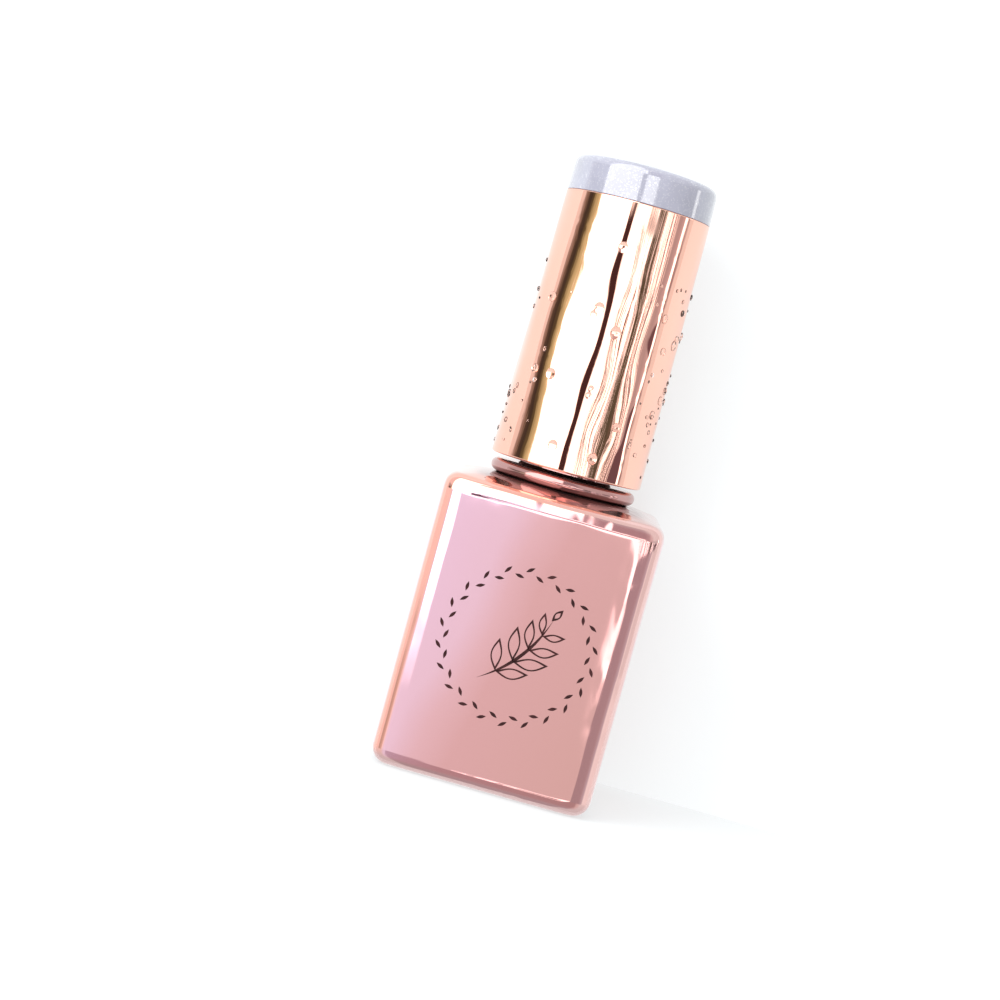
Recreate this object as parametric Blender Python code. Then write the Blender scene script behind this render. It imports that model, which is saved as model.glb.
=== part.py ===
"""Nail polish bottle: a square metallised glass bottle and a round screw cap that carries the brush.

Metres, +Z up. The base rim stands on Z = 0, and the bottle, its neck and the cap share the Z axis.
Every size below is in millimetres and is converted once, by MM, where a mesh or a place is made.
"""

import math

import bmesh
import bpy

MM = 0.001

# Glass body
BODY_WIDTH = 28.0
BODY_DEPTH = 28.0
BODY_HEIGHT = 37.0  # base rim to the outer edge of the shoulder
BODY_CORNER_RADIUS = 2.4  # the four upright edges
BASE_EDGE_RADIUS = 2.0
SHOULDER_EDGE_RADIUS = 1.7
SHOULDER_RISE = 0.9  # slope from the shoulder's edge up to the neck bead
GLASS_WALL = 2.6
GLASS_BASE = 4.0  # thickness under the cavity
GLASS_SHOULDER = 2.6
CAVITY_CORNER_RADIUS = 2.2
CAVITY_FLOOR_RADIUS = 1.4
CAVITY_ROOF_CHAMFER = 0.8
CAVITY_VAULT = ((0.3, 0.15), (0.7, 0.45))  # roof rings: share of the way out, and share of the fall left out

# Hollow under the base, which holds the label clear of the shelf
RIM_LAND = 2.2  # flat width of the rim that the bottle stands on, at the middle of a side
PUSH_UP_DEPTH = 0.9
LABEL_THICKNESS = 0.2
LABEL_MARGIN = 0.8

# Neck finish
BORE_RADIUS = 4.0
NECK_WALL = 1.8
BEAD_PROJECTION = 3.6  # how far the bead stands out from the neck
BEAD_HEIGHT = 1.7
FINISH_HEIGHT = 11.4  # top of the bead to the lip
LIP_RADIUS = 0.5
THREAD_PITCH = 2.12  # 12 threads to the inch
THREAD_TURNS = 1.5
NECK_THREAD_DEPTH = 0.65
NECK_THREAD_DROP = 2.0  # lip to the middle of the thread's top end
THREAD_ROOT_WIDTH = 1.1
THREAD_CREST_WIDTH = 0.5

# Clearances
PRESS_GAP = 0.3  # left round pieces that are pressed, glued or laid together
CREST_CLEARANCE = 0.15  # neck thread crest to cap thread crest
CAP_GAP = 0.6  # bead to the bottom rim of the cap
TIP_CLEARANCE = 2.5  # brush tip to the cavity floor

# Inner cap
CAP_THREAD_DEPTH = 0.5
SKIRT_WALL = 0.65
RIB_COUNT = 12
RIB_DEPTH = 0.42
SKIRT_RECESS = 0.4  # the skirt ends this far above the sleeve's bottom rim
DECK_THICKNESS = 1.4
SOCKET_HEIGHT = 5.0  # stem socket above the deck
SOCKET_WALL = 1.0
SOCKET_ROOF = 1.0

# Outer sleeve of the cap
SLEEVE_HEIGHT = 34.2
SLEEVE_WALL = 1.1
SLEEVE_DRAFT = 0.0135  # fall of the radius per millimetre of height
SLEEVE_EDGE_RADIUS = 0.25
CROWN_SEAT_DEPTH = 2.5
SEAT_DECK_THICKNESS = 1.2
SEAT_RIM_WALL = 1.1

# Colour crown
CROWN_SIDE_HEIGHT = 4.6
CROWN_DOME_RISE = 1.0
CROWN_EDGE_RADIUS = 1.2

# Seal and brush
SEAL_THICKNESS = 1.0
SEAL_MARGIN = 0.35  # radial room inside the skirt's thread
STEM_RADIUS = 1.6
STEM_TIP_RADIUS = 1.5
STEM_CHAMFER = 0.3
TUFT_LENGTH = 15.5  # the part that shows below the stem
TUFT_ROOT_LENGTH = 3.4
TUFT_HOLE_RADIUS = 1.2
TUFT_WIDTH = 4.4
TUFT_THICKNESS = 2.2
TUFT_STATIONS = (  # shares of the width, of the thickness and of the length, down to the tip
    (0.72, 0.8, 0.25),
    (0.94, 1.0, 0.5),
    (1.0, 1.0, 0.75),
    (0.86, 0.8, 0.92),
    (0.5, 0.4, 1.0),
)
STAPLE_THICKNESS = 0.3
STAPLE_HEIGHT = 0.9
STAPLE_BEVEL = 0.05
BALL_RADIUS = 2.0

# Fineness of the meshes
BODY_POINTS = 32
CAP_POINTS = 4 * RIB_COUNT  # each rib and each groove takes two points
SMALL_POINTS = 16
FILLET_STEPS = 4
FLOOR_FILLET_STEPS = 2
BEAD_STEPS = 6
DOME_STEPS = 5
THREAD_RAMP = math.radians(45)  # length of each tapered end of a thread
THREAD_EMBED = 0.25  # how far a thread's root is sunk into its wall
SHARP_ANGLE = math.radians(35)

# Heights of the stacked parts, from the sizes above
BEAD_FOOT_Z = BODY_HEIGHT + SHOULDER_RISE
BEAD_TOP_Z = BEAD_FOOT_Z + BEAD_HEIGHT
LIP_Z = BEAD_TOP_Z + FINISH_HEIGHT
SLEEVE_FOOT_Z = BEAD_TOP_Z + CAP_GAP
SKIRT_FOOT_Z = SLEEVE_FOOT_Z + SKIRT_RECESS
SEAL_FOOT_Z = LIP_Z + PRESS_GAP
DECK_UNDER_Z = SEAL_FOOT_Z + SEAL_THICKNESS + PRESS_GAP
DECK_TOP_Z = DECK_UNDER_Z + DECK_THICKNESS
SEAM_Z = SLEEVE_FOOT_Z + SLEEVE_HEIGHT
STEM_TOP_Z = DECK_TOP_Z + SOCKET_HEIGHT
TUFT_TIP_Z = GLASS_BASE + TIP_CLEARANCE
STEM_TIP_Z = TUFT_TIP_Z + TUFT_LENGTH

# Radii that fit one inside the next, from the bore outwards
NECK_RADIUS = BORE_RADIUS + NECK_WALL
NECK_CREST_RADIUS = NECK_RADIUS + NECK_THREAD_DEPTH
CAP_CREST_RADIUS = NECK_CREST_RADIUS + CREST_CLEARANCE
CAP_ROOT_RADIUS = CAP_CREST_RADIUS + CAP_THREAD_DEPTH
SKIRT_RADIUS = CAP_ROOT_RADIUS + SKIRT_WALL
RIB_RADIUS = SKIRT_RADIUS + RIB_DEPTH
BEAD_RADIUS = NECK_RADIUS + BEAD_PROJECTION
SOCKET_BORE_RADIUS = STEM_RADIUS + PRESS_GAP


def sleeve_radius(z):
    """Outer radius of the sleeve at a height: the ribs of the inner cap just clear its bore at the deck."""
    return RIB_RADIUS + PRESS_GAP + SLEEVE_WALL + SLEEVE_DRAFT * (DECK_TOP_Z - z)


def arc(center_r, center_z, radius, start, end, steps):
    """Points (r, z) of a circular arc between two angles in degrees, both ends included."""
    points = []
    for i in range(steps + 1):
        angle = math.radians(start + (end - start) * i / steps)
        points.append((center_r + radius * math.cos(angle), center_z + radius * math.sin(angle)))
    return points


def round_ring(radius, z, count):
    """A circle of points, set half a step round so that it pairs with a rounded rectangle's ring."""
    step = 2 * math.pi / count
    return [
        (radius * math.cos((i + 0.5) * step), radius * math.sin((i + 0.5) * step), z)
        for i in range(count)
    ]


def rounded_ring(half_x, half_y, radius, z, count):
    """A rounded rectangle of points whose four sides lie exactly at the two half-widths."""
    flat = radius * math.cos(math.pi / count)
    points = []
    for x, y, _ in round_ring(radius, z, count):
        points.append(
            (x + math.copysign(half_x - flat, x), y + math.copysign(half_y - flat, y), z)
        )
    return points


def ribbed_ring(valley_radius, crest_radius, z, count):
    """A circle of points with a rib on every second pair of them."""
    step = 2 * math.pi / count
    points = []
    for i in range(count):
        radius = crest_radius if i % 4 < 2 else valley_radius
        angle = (i + 0.5) * step
        points.append((radius * math.cos(angle), radius * math.sin(angle), z))
    return points


def loft(rings):
    """Mesh that skins a stack of rings of equal count and closes its two ends."""
    bm = bmesh.new()
    loops = [[bm.verts.new([c * MM for c in point]) for point in ring] for ring in rings]
    for lower, upper in zip(loops, loops[1:]):
        for i in range(len(lower)):
            bm.faces.new((lower[i - 1], lower[i], upper[i], upper[i - 1]))
    for end in (loops[0], loops[-1]):
        bm.faces.new(end)
    bmesh.ops.recalc_face_normals(bm, faces=bm.faces)
    return bm


def turn(profile, count):
    """Mesh turned about the Z axis from a profile (r, z) whose two ends meet or lie on the axis."""
    bm = bmesh.new()
    verts = [bm.verts.new((r * MM, 0.0, z * MM)) for r, z in profile]
    edges = [bm.edges.new(pair) for pair in zip(verts, verts[1:])]
    bmesh.ops.spin(
        bm, geom=verts + edges, cent=(0, 0, 0), axis=(0, 0, 1), angle=2 * math.pi, steps=count, use_merge=True
    )
    bmesh.ops.remove_doubles(bm, verts=bm.verts, dist=1e-7)
    bmesh.ops.recalc_face_normals(bm, faces=bm.faces)
    return bm


def thread(root_radius, crest_radius, top_z, count):
    """Right-hand helical ridge with tapered ends that rises to top_z; a crest inside the root faces inwards."""
    step = 2 * math.pi / count
    depth = crest_radius - root_radius
    sunk = root_radius - math.copysign(THREAD_EMBED, depth)
    stations = round(THREAD_TURNS * count)
    ramp = round(THREAD_RAMP / step)
    rings = []
    for i in range(stations + 1):
        height = min(1.0, i / ramp, (stations - i) / ramp)
        crest = root_radius + depth * height
        half_root = THREAD_ROOT_WIDTH / 2
        half_crest = half_root + (THREAD_CREST_WIDTH / 2 - half_root) * height
        z = top_z - THREAD_PITCH * (stations - i) / count
        angle = (i + 0.5) * step
        section = ((sunk, -half_root), (crest, -half_crest), (crest, half_crest), (sunk, half_root))
        rings.append([(r * math.cos(angle), r * math.sin(angle), z + dz) for r, dz in section])
    return loft(rings)


def make_material(name, color, roughness, metallic=0.0):
    """Principled material with one plain colour."""
    material = bpy.data.materials.new(name)
    material.use_nodes = True
    shader = material.node_tree.nodes["Principled BSDF"]
    shader.inputs["Base Color"].default_value = (*color, 1.0)
    shader.inputs["Roughness"].default_value = roughness
    shader.inputs["Metallic"].default_value = metallic
    return material


def make_object(name, bm, material=None, parent=None, place=(0.0, 0.0, 0.0)):
    """Object from a mesh, placed in millimetres below an optional parent."""
    mesh = bpy.data.meshes.new(name)
    bm.to_mesh(mesh)
    bm.free()
    mesh.shade_smooth()
    mesh.set_sharp_from_angle(angle=SHARP_ANGLE)
    if material:
        mesh.materials.append(material)
    obj = bpy.data.objects.new(name, mesh)
    bpy.context.scene.collection.objects.link(obj)
    obj.parent = parent
    obj.location = [c * MM for c in place]
    return obj


def make_axis(name, z, parent=None):
    """Empty on the Z axis that carries a group of pieces."""
    empty = bpy.data.objects.new(name, None)
    bpy.context.scene.collection.objects.link(empty)
    empty.empty_display_size = 0.01
    empty.parent = parent
    empty.location = (0.0, 0.0, z * MM)
    return empty


def combine(target, name, bm, operation):
    """Add a hidden tool mesh and a Boolean modifier that joins it to the target or cuts it away."""
    tool = make_object(name, bm, parent=target)
    tool.hide_render = True
    tool.display_type = "WIRE"
    modifier = target.modifiers.new(name, "BOOLEAN")
    modifier.operation = operation
    modifier.solver = "EXACT"
    modifier.object = tool


def glass_outside(half_x, half_y):
    """Rings of the bottle's outside, from the hollow under the base up to the top of the bead."""
    push_up_radius = min(half_x, half_y) - BASE_EDGE_RADIUS - RIM_LAND
    rings = [
        round_ring(push_up_radius - PUSH_UP_DEPTH, PUSH_UP_DEPTH, BODY_POINTS),
        round_ring(push_up_radius, 0.0, BODY_POINTS),
    ]
    for i in range(FILLET_STEPS + 1):
        angle = math.radians(90 * i / FILLET_STEPS)
        inset = BASE_EDGE_RADIUS * (1 - math.sin(angle))
        z = BASE_EDGE_RADIUS * (1 - math.cos(angle))
        rings.append(body_ring(half_x, half_y, inset, z))
    for i in range(FILLET_STEPS + 1):
        angle = math.radians(90 * i / FILLET_STEPS)
        inset = SHOULDER_EDGE_RADIUS * (1 - math.cos(angle))
        z = BODY_HEIGHT - SHOULDER_EDGE_RADIUS * (1 - math.sin(angle))
        rings.append(body_ring(half_x, half_y, inset, z))
    roll = BEAD_HEIGHT / 2
    for radius, z in arc(BEAD_RADIUS - roll, BEAD_FOOT_Z + roll, roll, -90, 90, BEAD_STEPS):
        rings.append(round_ring(radius, z, BODY_POINTS))
    return rings


def body_ring(half_x, half_y, inset, z):
    """The body's outline drawn in by an inset, with its corners drawn in as well."""
    return rounded_ring(half_x - inset, half_y - inset, BODY_CORNER_RADIUS - inset, z, BODY_POINTS)


def glass_inside(half_x, half_y):
    """Rings of the bottle's inside, from the lip down the bore to the cavity floor."""
    roof_z = BODY_HEIGHT - GLASS_SHOULDER
    spread = min(half_x, half_y) - BORE_RADIUS
    rings = [
        round_ring(BORE_RADIUS + LIP_RADIUS, LIP_Z, BODY_POINTS),
        round_ring(BORE_RADIUS, LIP_Z - LIP_RADIUS, BODY_POINTS),
        round_ring(BORE_RADIUS, BEAD_FOOT_Z, BODY_POINTS),
    ]
    for share, drop in CAVITY_VAULT:
        radius = BORE_RADIUS + spread * share
        z = roof_z + (BEAD_FOOT_Z - roof_z) * (1 - share) * (1 - drop)
        rings.append(round_ring(radius, z, BODY_POINTS))
    chamfer = CAVITY_ROOF_CHAMFER
    rings.append(rounded_ring(half_x - chamfer, half_y - chamfer, CAVITY_CORNER_RADIUS, roof_z, BODY_POINTS))
    rings.append(rounded_ring(half_x, half_y, CAVITY_CORNER_RADIUS, roof_z - chamfer, BODY_POINTS))
    for i in range(FLOOR_FILLET_STEPS + 1):
        angle = math.radians(90 * i / FLOOR_FILLET_STEPS)
        inset = CAVITY_FLOOR_RADIUS * (1 - math.cos(angle))
        z = GLASS_BASE + CAVITY_FLOOR_RADIUS * (1 - math.sin(angle))
        rings.append(rounded_ring(half_x - inset, half_y - inset, CAVITY_CORNER_RADIUS - inset, z, BODY_POINTS))
    return rings


def make_bottle(parent):
    """Glass bottle in one piece: body, bead, threaded neck, bore and cavity."""
    glass = make_material("metallised_glass", (0.84, 0.56, 0.52), 0.12, 0.7)
    rings = glass_outside(BODY_WIDTH / 2, BODY_DEPTH / 2)
    rings.append(round_ring(NECK_RADIUS, BEAD_TOP_Z, BODY_POINTS))
    rings.append(round_ring(NECK_RADIUS, LIP_Z - LIP_RADIUS, BODY_POINTS))
    rings.append(round_ring(NECK_RADIUS - LIP_RADIUS, LIP_Z, BODY_POINTS))
    rings.extend(glass_inside(BODY_WIDTH / 2 - GLASS_WALL, BODY_DEPTH / 2 - GLASS_WALL))
    bottle = make_object("glass_bottle", loft(rings), glass, parent)
    ridge = thread(NECK_RADIUS, NECK_CREST_RADIUS, LIP_Z - NECK_THREAD_DROP, BODY_POINTS)
    combine(bottle, "neck_thread", ridge, "UNION")


def make_base_label(parent):
    """Round blank label in the hollow under the base."""
    paper = make_material("label_film", (0.9, 0.9, 0.88), 0.5)
    push_up_radius = min(BODY_WIDTH, BODY_DEPTH) / 2 - BASE_EDGE_RADIUS - RIM_LAND
    radius = push_up_radius - PUSH_UP_DEPTH - LABEL_MARGIN
    top = PUSH_UP_DEPTH - PRESS_GAP
    profile = ((0.0, 0.0), (radius, 0.0), (radius, -LABEL_THICKNESS), (0.0, -LABEL_THICKNESS))
    make_object("base_label", turn(profile, BODY_POINTS), paper, parent, (0.0, 0.0, top))


def make_mixing_balls(parent):
    """Two steel balls that lie in opposite corners of the cavity floor."""
    steel = make_material("ball_steel", (0.6, 0.6, 0.6), 0.2, 1.0)
    room = GLASS_WALL + CAVITY_FLOOR_RADIUS + BALL_RADIUS
    z = GLASS_BASE + PRESS_GAP + BALL_RADIUS
    for number, side in ((1, -1), (2, 1)):
        bm = bmesh.new()
        bmesh.ops.create_icosphere(bm, subdivisions=2, radius=BALL_RADIUS * MM)
        place = (side * (BODY_WIDTH / 2 - room), side * (BODY_DEPTH / 2 - room), z)
        make_object(f"mixing_ball_{number}", bm, steel, parent, place)


def make_seal(parent):
    """Soft washer that the inner cap presses on the lip of the neck."""
    foam = make_material("seal_foam", (0.92, 0.92, 0.9), 0.7)
    bore = SOCKET_BORE_RADIUS
    outer = CAP_CREST_RADIUS - SEAL_MARGIN
    profile = (
        (bore, SEAL_THICKNESS),
        (outer, SEAL_THICKNESS),
        (outer, 0.0),
        (bore, 0.0),
        (bore, SEAL_THICKNESS),
    )
    make_object("seal_washer", turn(profile, BODY_POINTS), foam, parent)


def make_inner_cap(parent):
    """Threaded inner cap: ribbed skirt, deck over the seal and a socket that grips the brush stem."""
    plastic = make_material("inner_cap_plastic", (0.93, 0.93, 0.92), 0.35)
    height = DECK_TOP_Z - SKIRT_FOOT_Z
    deck_under = DECK_UNDER_Z - SKIRT_FOOT_Z
    socket_top = height + SOCKET_HEIGHT + PRESS_GAP + SOCKET_ROOF
    socket_radius = SOCKET_BORE_RADIUS + SOCKET_WALL
    lead_in = CAP_ROOT_RADIUS + SKIRT_WALL / 2
    rings = [
        round_ring(socket_radius, socket_top, CAP_POINTS),
        round_ring(socket_radius, height, CAP_POINTS),
        ribbed_ring(SKIRT_RADIUS, RIB_RADIUS, height, CAP_POINTS),
        ribbed_ring(SKIRT_RADIUS, RIB_RADIUS, 0.0, CAP_POINTS),
        round_ring(lead_in, 0.0, CAP_POINTS),
        round_ring(CAP_ROOT_RADIUS, SKIRT_WALL, CAP_POINTS),
        round_ring(CAP_ROOT_RADIUS, deck_under, CAP_POINTS),
        round_ring(SOCKET_BORE_RADIUS, deck_under, CAP_POINTS),
        round_ring(SOCKET_BORE_RADIUS, socket_top - SOCKET_ROOF, CAP_POINTS),
    ]
    inner_cap = make_object("inner_cap", loft(rings), plastic, parent, (0.0, 0.0, SKIRT_FOOT_Z - LIP_Z))
    ridge_top = LIP_Z - NECK_THREAD_DROP - THREAD_PITCH / 2 - SKIRT_FOOT_Z
    ridge = thread(CAP_ROOT_RADIUS, CAP_CREST_RADIUS, ridge_top, CAP_POINTS)
    combine(inner_cap, "cap_thread", ridge, "UNION")


def make_sleeve(parent):
    """Mirror-metallised outer sleeve of the cap, with a seat in its top for the crown."""
    metal = make_material("rose_gold_metallising", (0.86, 0.58, 0.5), 0.05, 1.0)
    foot = sleeve_radius(SLEEVE_FOOT_Z)
    top = sleeve_radius(SEAM_Z)
    seat = SLEEVE_HEIGHT - CROWN_SEAT_DEPTH
    ceiling = seat - SEAT_DECK_THICKNESS
    edge = SLEEVE_EDGE_RADIUS
    ceiling_radius = sleeve_radius(SLEEVE_FOOT_Z + ceiling) - SLEEVE_WALL
    profile = [(0.0, seat), (top - SEAT_RIM_WALL, seat), (top - SEAT_RIM_WALL, SLEEVE_HEIGHT)]
    profile += arc(top - edge, SLEEVE_HEIGHT - edge, edge, 90, 0, 2)
    profile += arc(foot - edge, edge, edge, 0, -90, 2)
    profile += [(foot - SLEEVE_WALL, 0.0), (ceiling_radius, ceiling), (0.0, ceiling)]
    make_object("outer_cap", turn(profile, CAP_POINTS), metal, parent, (0.0, 0.0, SLEEVE_FOOT_Z - LIP_Z))


def make_crown(parent):
    """Glitter-filled colour crown: a domed button whose plug sits in the top of the sleeve."""
    gel = make_material("glitter_gel", (0.56, 0.56, 0.66), 0.1)
    foot = sleeve_radius(SEAM_Z)
    head = sleeve_radius(SEAM_Z + CROWN_SIDE_HEIGHT)
    plug_radius = foot - SEAT_RIM_WALL - PRESS_GAP
    edge = CROWN_EDGE_RADIUS
    rim_radius = head - edge
    dome_radius = (rim_radius**2 + CROWN_DOME_RISE**2) / (2 * CROWN_DOME_RISE)
    rim_angle = math.degrees(math.asin(rim_radius / dome_radius))
    profile = [(0.0, PRESS_GAP - CROWN_SEAT_DEPTH), (plug_radius, PRESS_GAP - CROWN_SEAT_DEPTH)]
    profile += [(plug_radius, PRESS_GAP), (foot, PRESS_GAP)]
    profile += arc(rim_radius, CROWN_SIDE_HEIGHT - edge, edge, 0, 90, FILLET_STEPS)
    dome = arc(0.0, CROWN_SIDE_HEIGHT + CROWN_DOME_RISE - dome_radius, dome_radius, 90 - rim_angle, 90, DOME_STEPS)
    profile += dome[1:]
    make_object("colour_crown", turn(profile, CAP_POINTS), gel, parent, (0.0, 0.0, SEAM_Z - LIP_Z))


def make_stem(parent):
    """Brush stem: a slightly tapered rod, pressed in the inner cap and drilled at its tip for the tuft."""
    plastic = make_material("stem_plastic", (0.1, 0.1, 0.1), 0.35)
    length = STEM_TOP_Z - STEM_TIP_Z
    hole = TUFT_ROOT_LENGTH + PRESS_GAP
    profile = (
        (0.0, hole),
        (TUFT_HOLE_RADIUS, hole),
        (TUFT_HOLE_RADIUS, 0.0),
        (STEM_TIP_RADIUS, 0.0),
        (STEM_RADIUS, length - STEM_CHAMFER),
        (STEM_RADIUS - STEM_CHAMFER, length),
        (0.0, length),
    )
    make_object("brush_stem", turn(profile, SMALL_POINTS), plastic, parent, (0.0, 0.0, STEM_TIP_Z - LIP_Z))


def make_tuft(parent):
    """Bristle tuft: a round root folded over the staple, a flat oval belly and a rounded tip."""
    bristle = make_material("bristle_nylon", (0.16, 0.13, 0.12), 0.45)
    root = TUFT_HOLE_RADIUS - PRESS_GAP
    half_x = TUFT_WIDTH / 2
    half_y = TUFT_THICKNESS / 2
    rings = [round_ring(root, TUFT_ROOT_LENGTH, SMALL_POINTS), round_ring(root, -PRESS_GAP, SMALL_POINTS)]
    for wide, thick, drop in TUFT_STATIONS:
        outline = [
            (x * wide * half_x, y * thick * half_y, -TUFT_LENGTH * drop)
            for x, y, _ in round_ring(1.0, 0.0, SMALL_POINTS)
        ]
        rings.append(outline)
    tuft = make_object("bristle_tuft", loft(rings), bristle, parent, (0.0, 0.0, STEM_TIP_Z - LIP_Z))
    slot = bmesh.new()
    bmesh.ops.create_cube(slot, size=1.0)
    slot_width = STAPLE_THICKNESS + 2 * PRESS_GAP
    slot_depth = STAPLE_HEIGHT + 2 * PRESS_GAP
    size = (4 * root, slot_width, 2 * slot_depth)
    bmesh.ops.scale(slot, vec=[c * MM for c in size], verts=slot.verts)
    bmesh.ops.translate(slot, vec=(0.0, 0.0, TUFT_ROOT_LENGTH * MM), verts=slot.verts)
    combine(tuft, "staple_slot", slot, "DIFFERENCE")


def make_staple(parent):
    """Flat wire staple that the bristles are folded over, set across the hole in the stem."""
    wire = make_material("staple_steel", (0.6, 0.6, 0.58), 0.3, 1.0)
    bm = bmesh.new()
    bmesh.ops.create_cube(bm, size=1.0)
    size = (2 * (TUFT_HOLE_RADIUS - PRESS_GAP), STAPLE_THICKNESS, STAPLE_HEIGHT)
    bmesh.ops.scale(bm, vec=[c * MM for c in size], verts=bm.verts)
    bmesh.ops.bevel(bm, geom=bm.edges, offset=STAPLE_BEVEL * MM, segments=1, affect="EDGES")
    z = STEM_TIP_Z + TUFT_ROOT_LENGTH - STAPLE_HEIGHT / 2 - PRESS_GAP / 2
    make_object("bristle_staple", bm, wire, parent, (0.0, 0.0, z - LIP_Z))


def main():
    """Build the bottle and its contents, then the seal and the cap on the axes that they move along."""
    for obj in list(bpy.data.objects):
        bpy.data.objects.remove(obj)
    bottle_axis = make_axis("bottle_axis", 0.0)
    make_bottle(bottle_axis)
    make_base_label(bottle_axis)
    make_mixing_balls(bottle_axis)
    lift_axis = make_axis("lift_axis", SEAL_FOOT_Z, bottle_axis)
    make_seal(lift_axis)
    turn_axis = make_axis("turn_axis", LIP_Z - SEAL_FOOT_Z, lift_axis)
    make_inner_cap(turn_axis)
    make_sleeve(turn_axis)
    make_crown(turn_axis)
    make_stem(turn_axis)
    make_tuft(turn_axis)
    make_staple(turn_axis)


main()
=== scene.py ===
"""Looks of a nail polish bottle: metallised glass, mirror cap, glitter crown, brush and condensation.

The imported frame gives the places. Lengths are in metres, and the MM factor turns millimetres into them.
"""

import logging
import math
import random
from collections.abc import Callable, Iterable
from dataclasses import dataclass
from enum import Enum

import bmesh
import bpy
from mathutils import Matrix, Vector, noise


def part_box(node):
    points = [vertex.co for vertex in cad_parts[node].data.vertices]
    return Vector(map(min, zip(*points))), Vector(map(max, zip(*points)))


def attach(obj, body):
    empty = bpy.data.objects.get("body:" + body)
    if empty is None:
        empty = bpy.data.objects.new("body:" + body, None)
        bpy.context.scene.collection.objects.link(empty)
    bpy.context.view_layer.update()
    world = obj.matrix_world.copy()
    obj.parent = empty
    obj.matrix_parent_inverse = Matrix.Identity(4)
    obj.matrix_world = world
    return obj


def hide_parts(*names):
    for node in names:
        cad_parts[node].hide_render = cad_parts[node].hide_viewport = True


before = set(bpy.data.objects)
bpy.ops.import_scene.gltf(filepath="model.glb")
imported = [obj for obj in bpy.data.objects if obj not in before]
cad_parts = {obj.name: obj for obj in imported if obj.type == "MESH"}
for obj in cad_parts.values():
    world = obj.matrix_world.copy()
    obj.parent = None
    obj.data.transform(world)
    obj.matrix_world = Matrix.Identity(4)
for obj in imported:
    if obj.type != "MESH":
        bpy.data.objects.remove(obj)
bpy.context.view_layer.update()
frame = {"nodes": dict(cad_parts)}        # nodes of the imported model

LOG = logging.getLogger("nail_polish_bottle")
MM = 0.001

Piece = bpy.types.Object
Material = bpy.types.Material
Socket = bpy.types.NodeSocket
Point = tuple[float, float, float]
Colour = tuple[float, float, float]
Ring = list[Point]
Profile = list[tuple[float, float]]
Edge = tuple[float, float]                             # where a smooth step gives 0 and where it gives 1
Band = tuple[float, float, float, float]               # where a band starts, is full, fades and ends
Strips = tuple[tuple[float, float | Colour], ...]      # degrees from the front, and grey or coloured light

WHITE: Colour = (1.0, 1.0, 1.0)


class Body(Enum):
    """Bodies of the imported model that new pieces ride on."""

    BOTTLE = "bottle"
    CAP = "cap"


class Slot(Enum):
    """Names of the record's material slots, which nothing here reads."""

    GLASS = "metallised_glass"
    SLEEVE = "rose_gold_metallising"
    CROWN = "glitter_gel"
    STEM = "stem_plastic"
    BRISTLE = "bristle_nylon"


# ---------------------------------------------------------------- modelling helpers


def deselect_all() -> None:
    """Leave edit mode and deselect every object."""
    if bpy.context.object and bpy.context.object.mode != "OBJECT":
        bpy.ops.object.mode_set(mode="OBJECT")
    bpy.ops.object.select_all(action="DESELECT")


def make_active(obj: Piece) -> None:
    """Select one object alone and make it the active one.

    Args:
        obj: The object to work on.
    """
    deselect_all()
    obj.select_set(True)
    bpy.context.view_layer.objects.active = obj


def apply_place(obj: Piece) -> None:
    """Move an object's place, turn and scale into its mesh, and leave it at the origin."""
    make_active(obj)
    bpy.ops.object.transform_apply(location=True, rotation=True, scale=True)


def apply_modifiers(obj: Piece) -> None:
    """Apply every modifier in order.

    Args:
        obj: The object whose modifiers are applied.
    """
    make_active(obj)
    for modifier in list(obj.modifiers):
        bpy.ops.object.modifier_apply(modifier=modifier.name)


def smooth(obj: Piece, degrees: float) -> None:
    """Shade smooth, keeping edges sharper than an angle in degrees."""
    make_active(obj)
    bpy.ops.object.shade_smooth_by_angle(angle=math.radians(degrees))


def join(objects: list[Piece], name: str) -> Piece:
    """Join several objects into the first.

    Args:
        objects: The objects, each with its own mesh.
        name: Name of the joined object.

    Returns:
        The joined object.
    """
    deselect_all()
    for obj in objects:
        obj.select_set(True)
    bpy.context.view_layer.objects.active = objects[0]
    bpy.ops.object.join()
    joined = bpy.context.object
    joined.name = name
    joined.data.name = name
    return joined


def cosine(degrees: float) -> float:
    """Cosine of an angle in degrees."""
    return math.cos(math.radians(degrees))


def sine(degrees: float) -> float:
    """Sine of an angle in degrees."""
    return math.sin(math.radians(degrees))


def round_ring(radius: float, z: float, count: int) -> Ring:
    """Points of a circle about the Z axis, anticlockwise from +X, of a radius and height in metres."""
    step = 2 * math.pi / count
    return [(radius * math.cos(i * step), radius * math.sin(i * step), z) for i in range(count)]


def four_sides(half_x: float, half_y: float, z: float, side: Callable[[float, float], Profile]) -> Ring:
    """Ring of four sides with their corners, anticlockwise from the middle of the +X side.

    Args:
        half_x: Half its width.
        half_y: Half its depth.
        z: Height.
        side: Gives the points of the +X side and its corner, from its half sizes across and along.

    Returns:
        The points, in the unit of the sizes.
    """
    ring: Ring = []
    for quarter in range(4):
        u, v = (half_x, half_y) if quarter % 2 == 0 else (half_y, half_x)
        turn = Matrix.Rotation(quarter * math.pi / 2, 2)
        for point in side(u, v):
            x, y = turn @ Vector(point)
            ring.append((x, y, z))
    return ring


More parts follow.
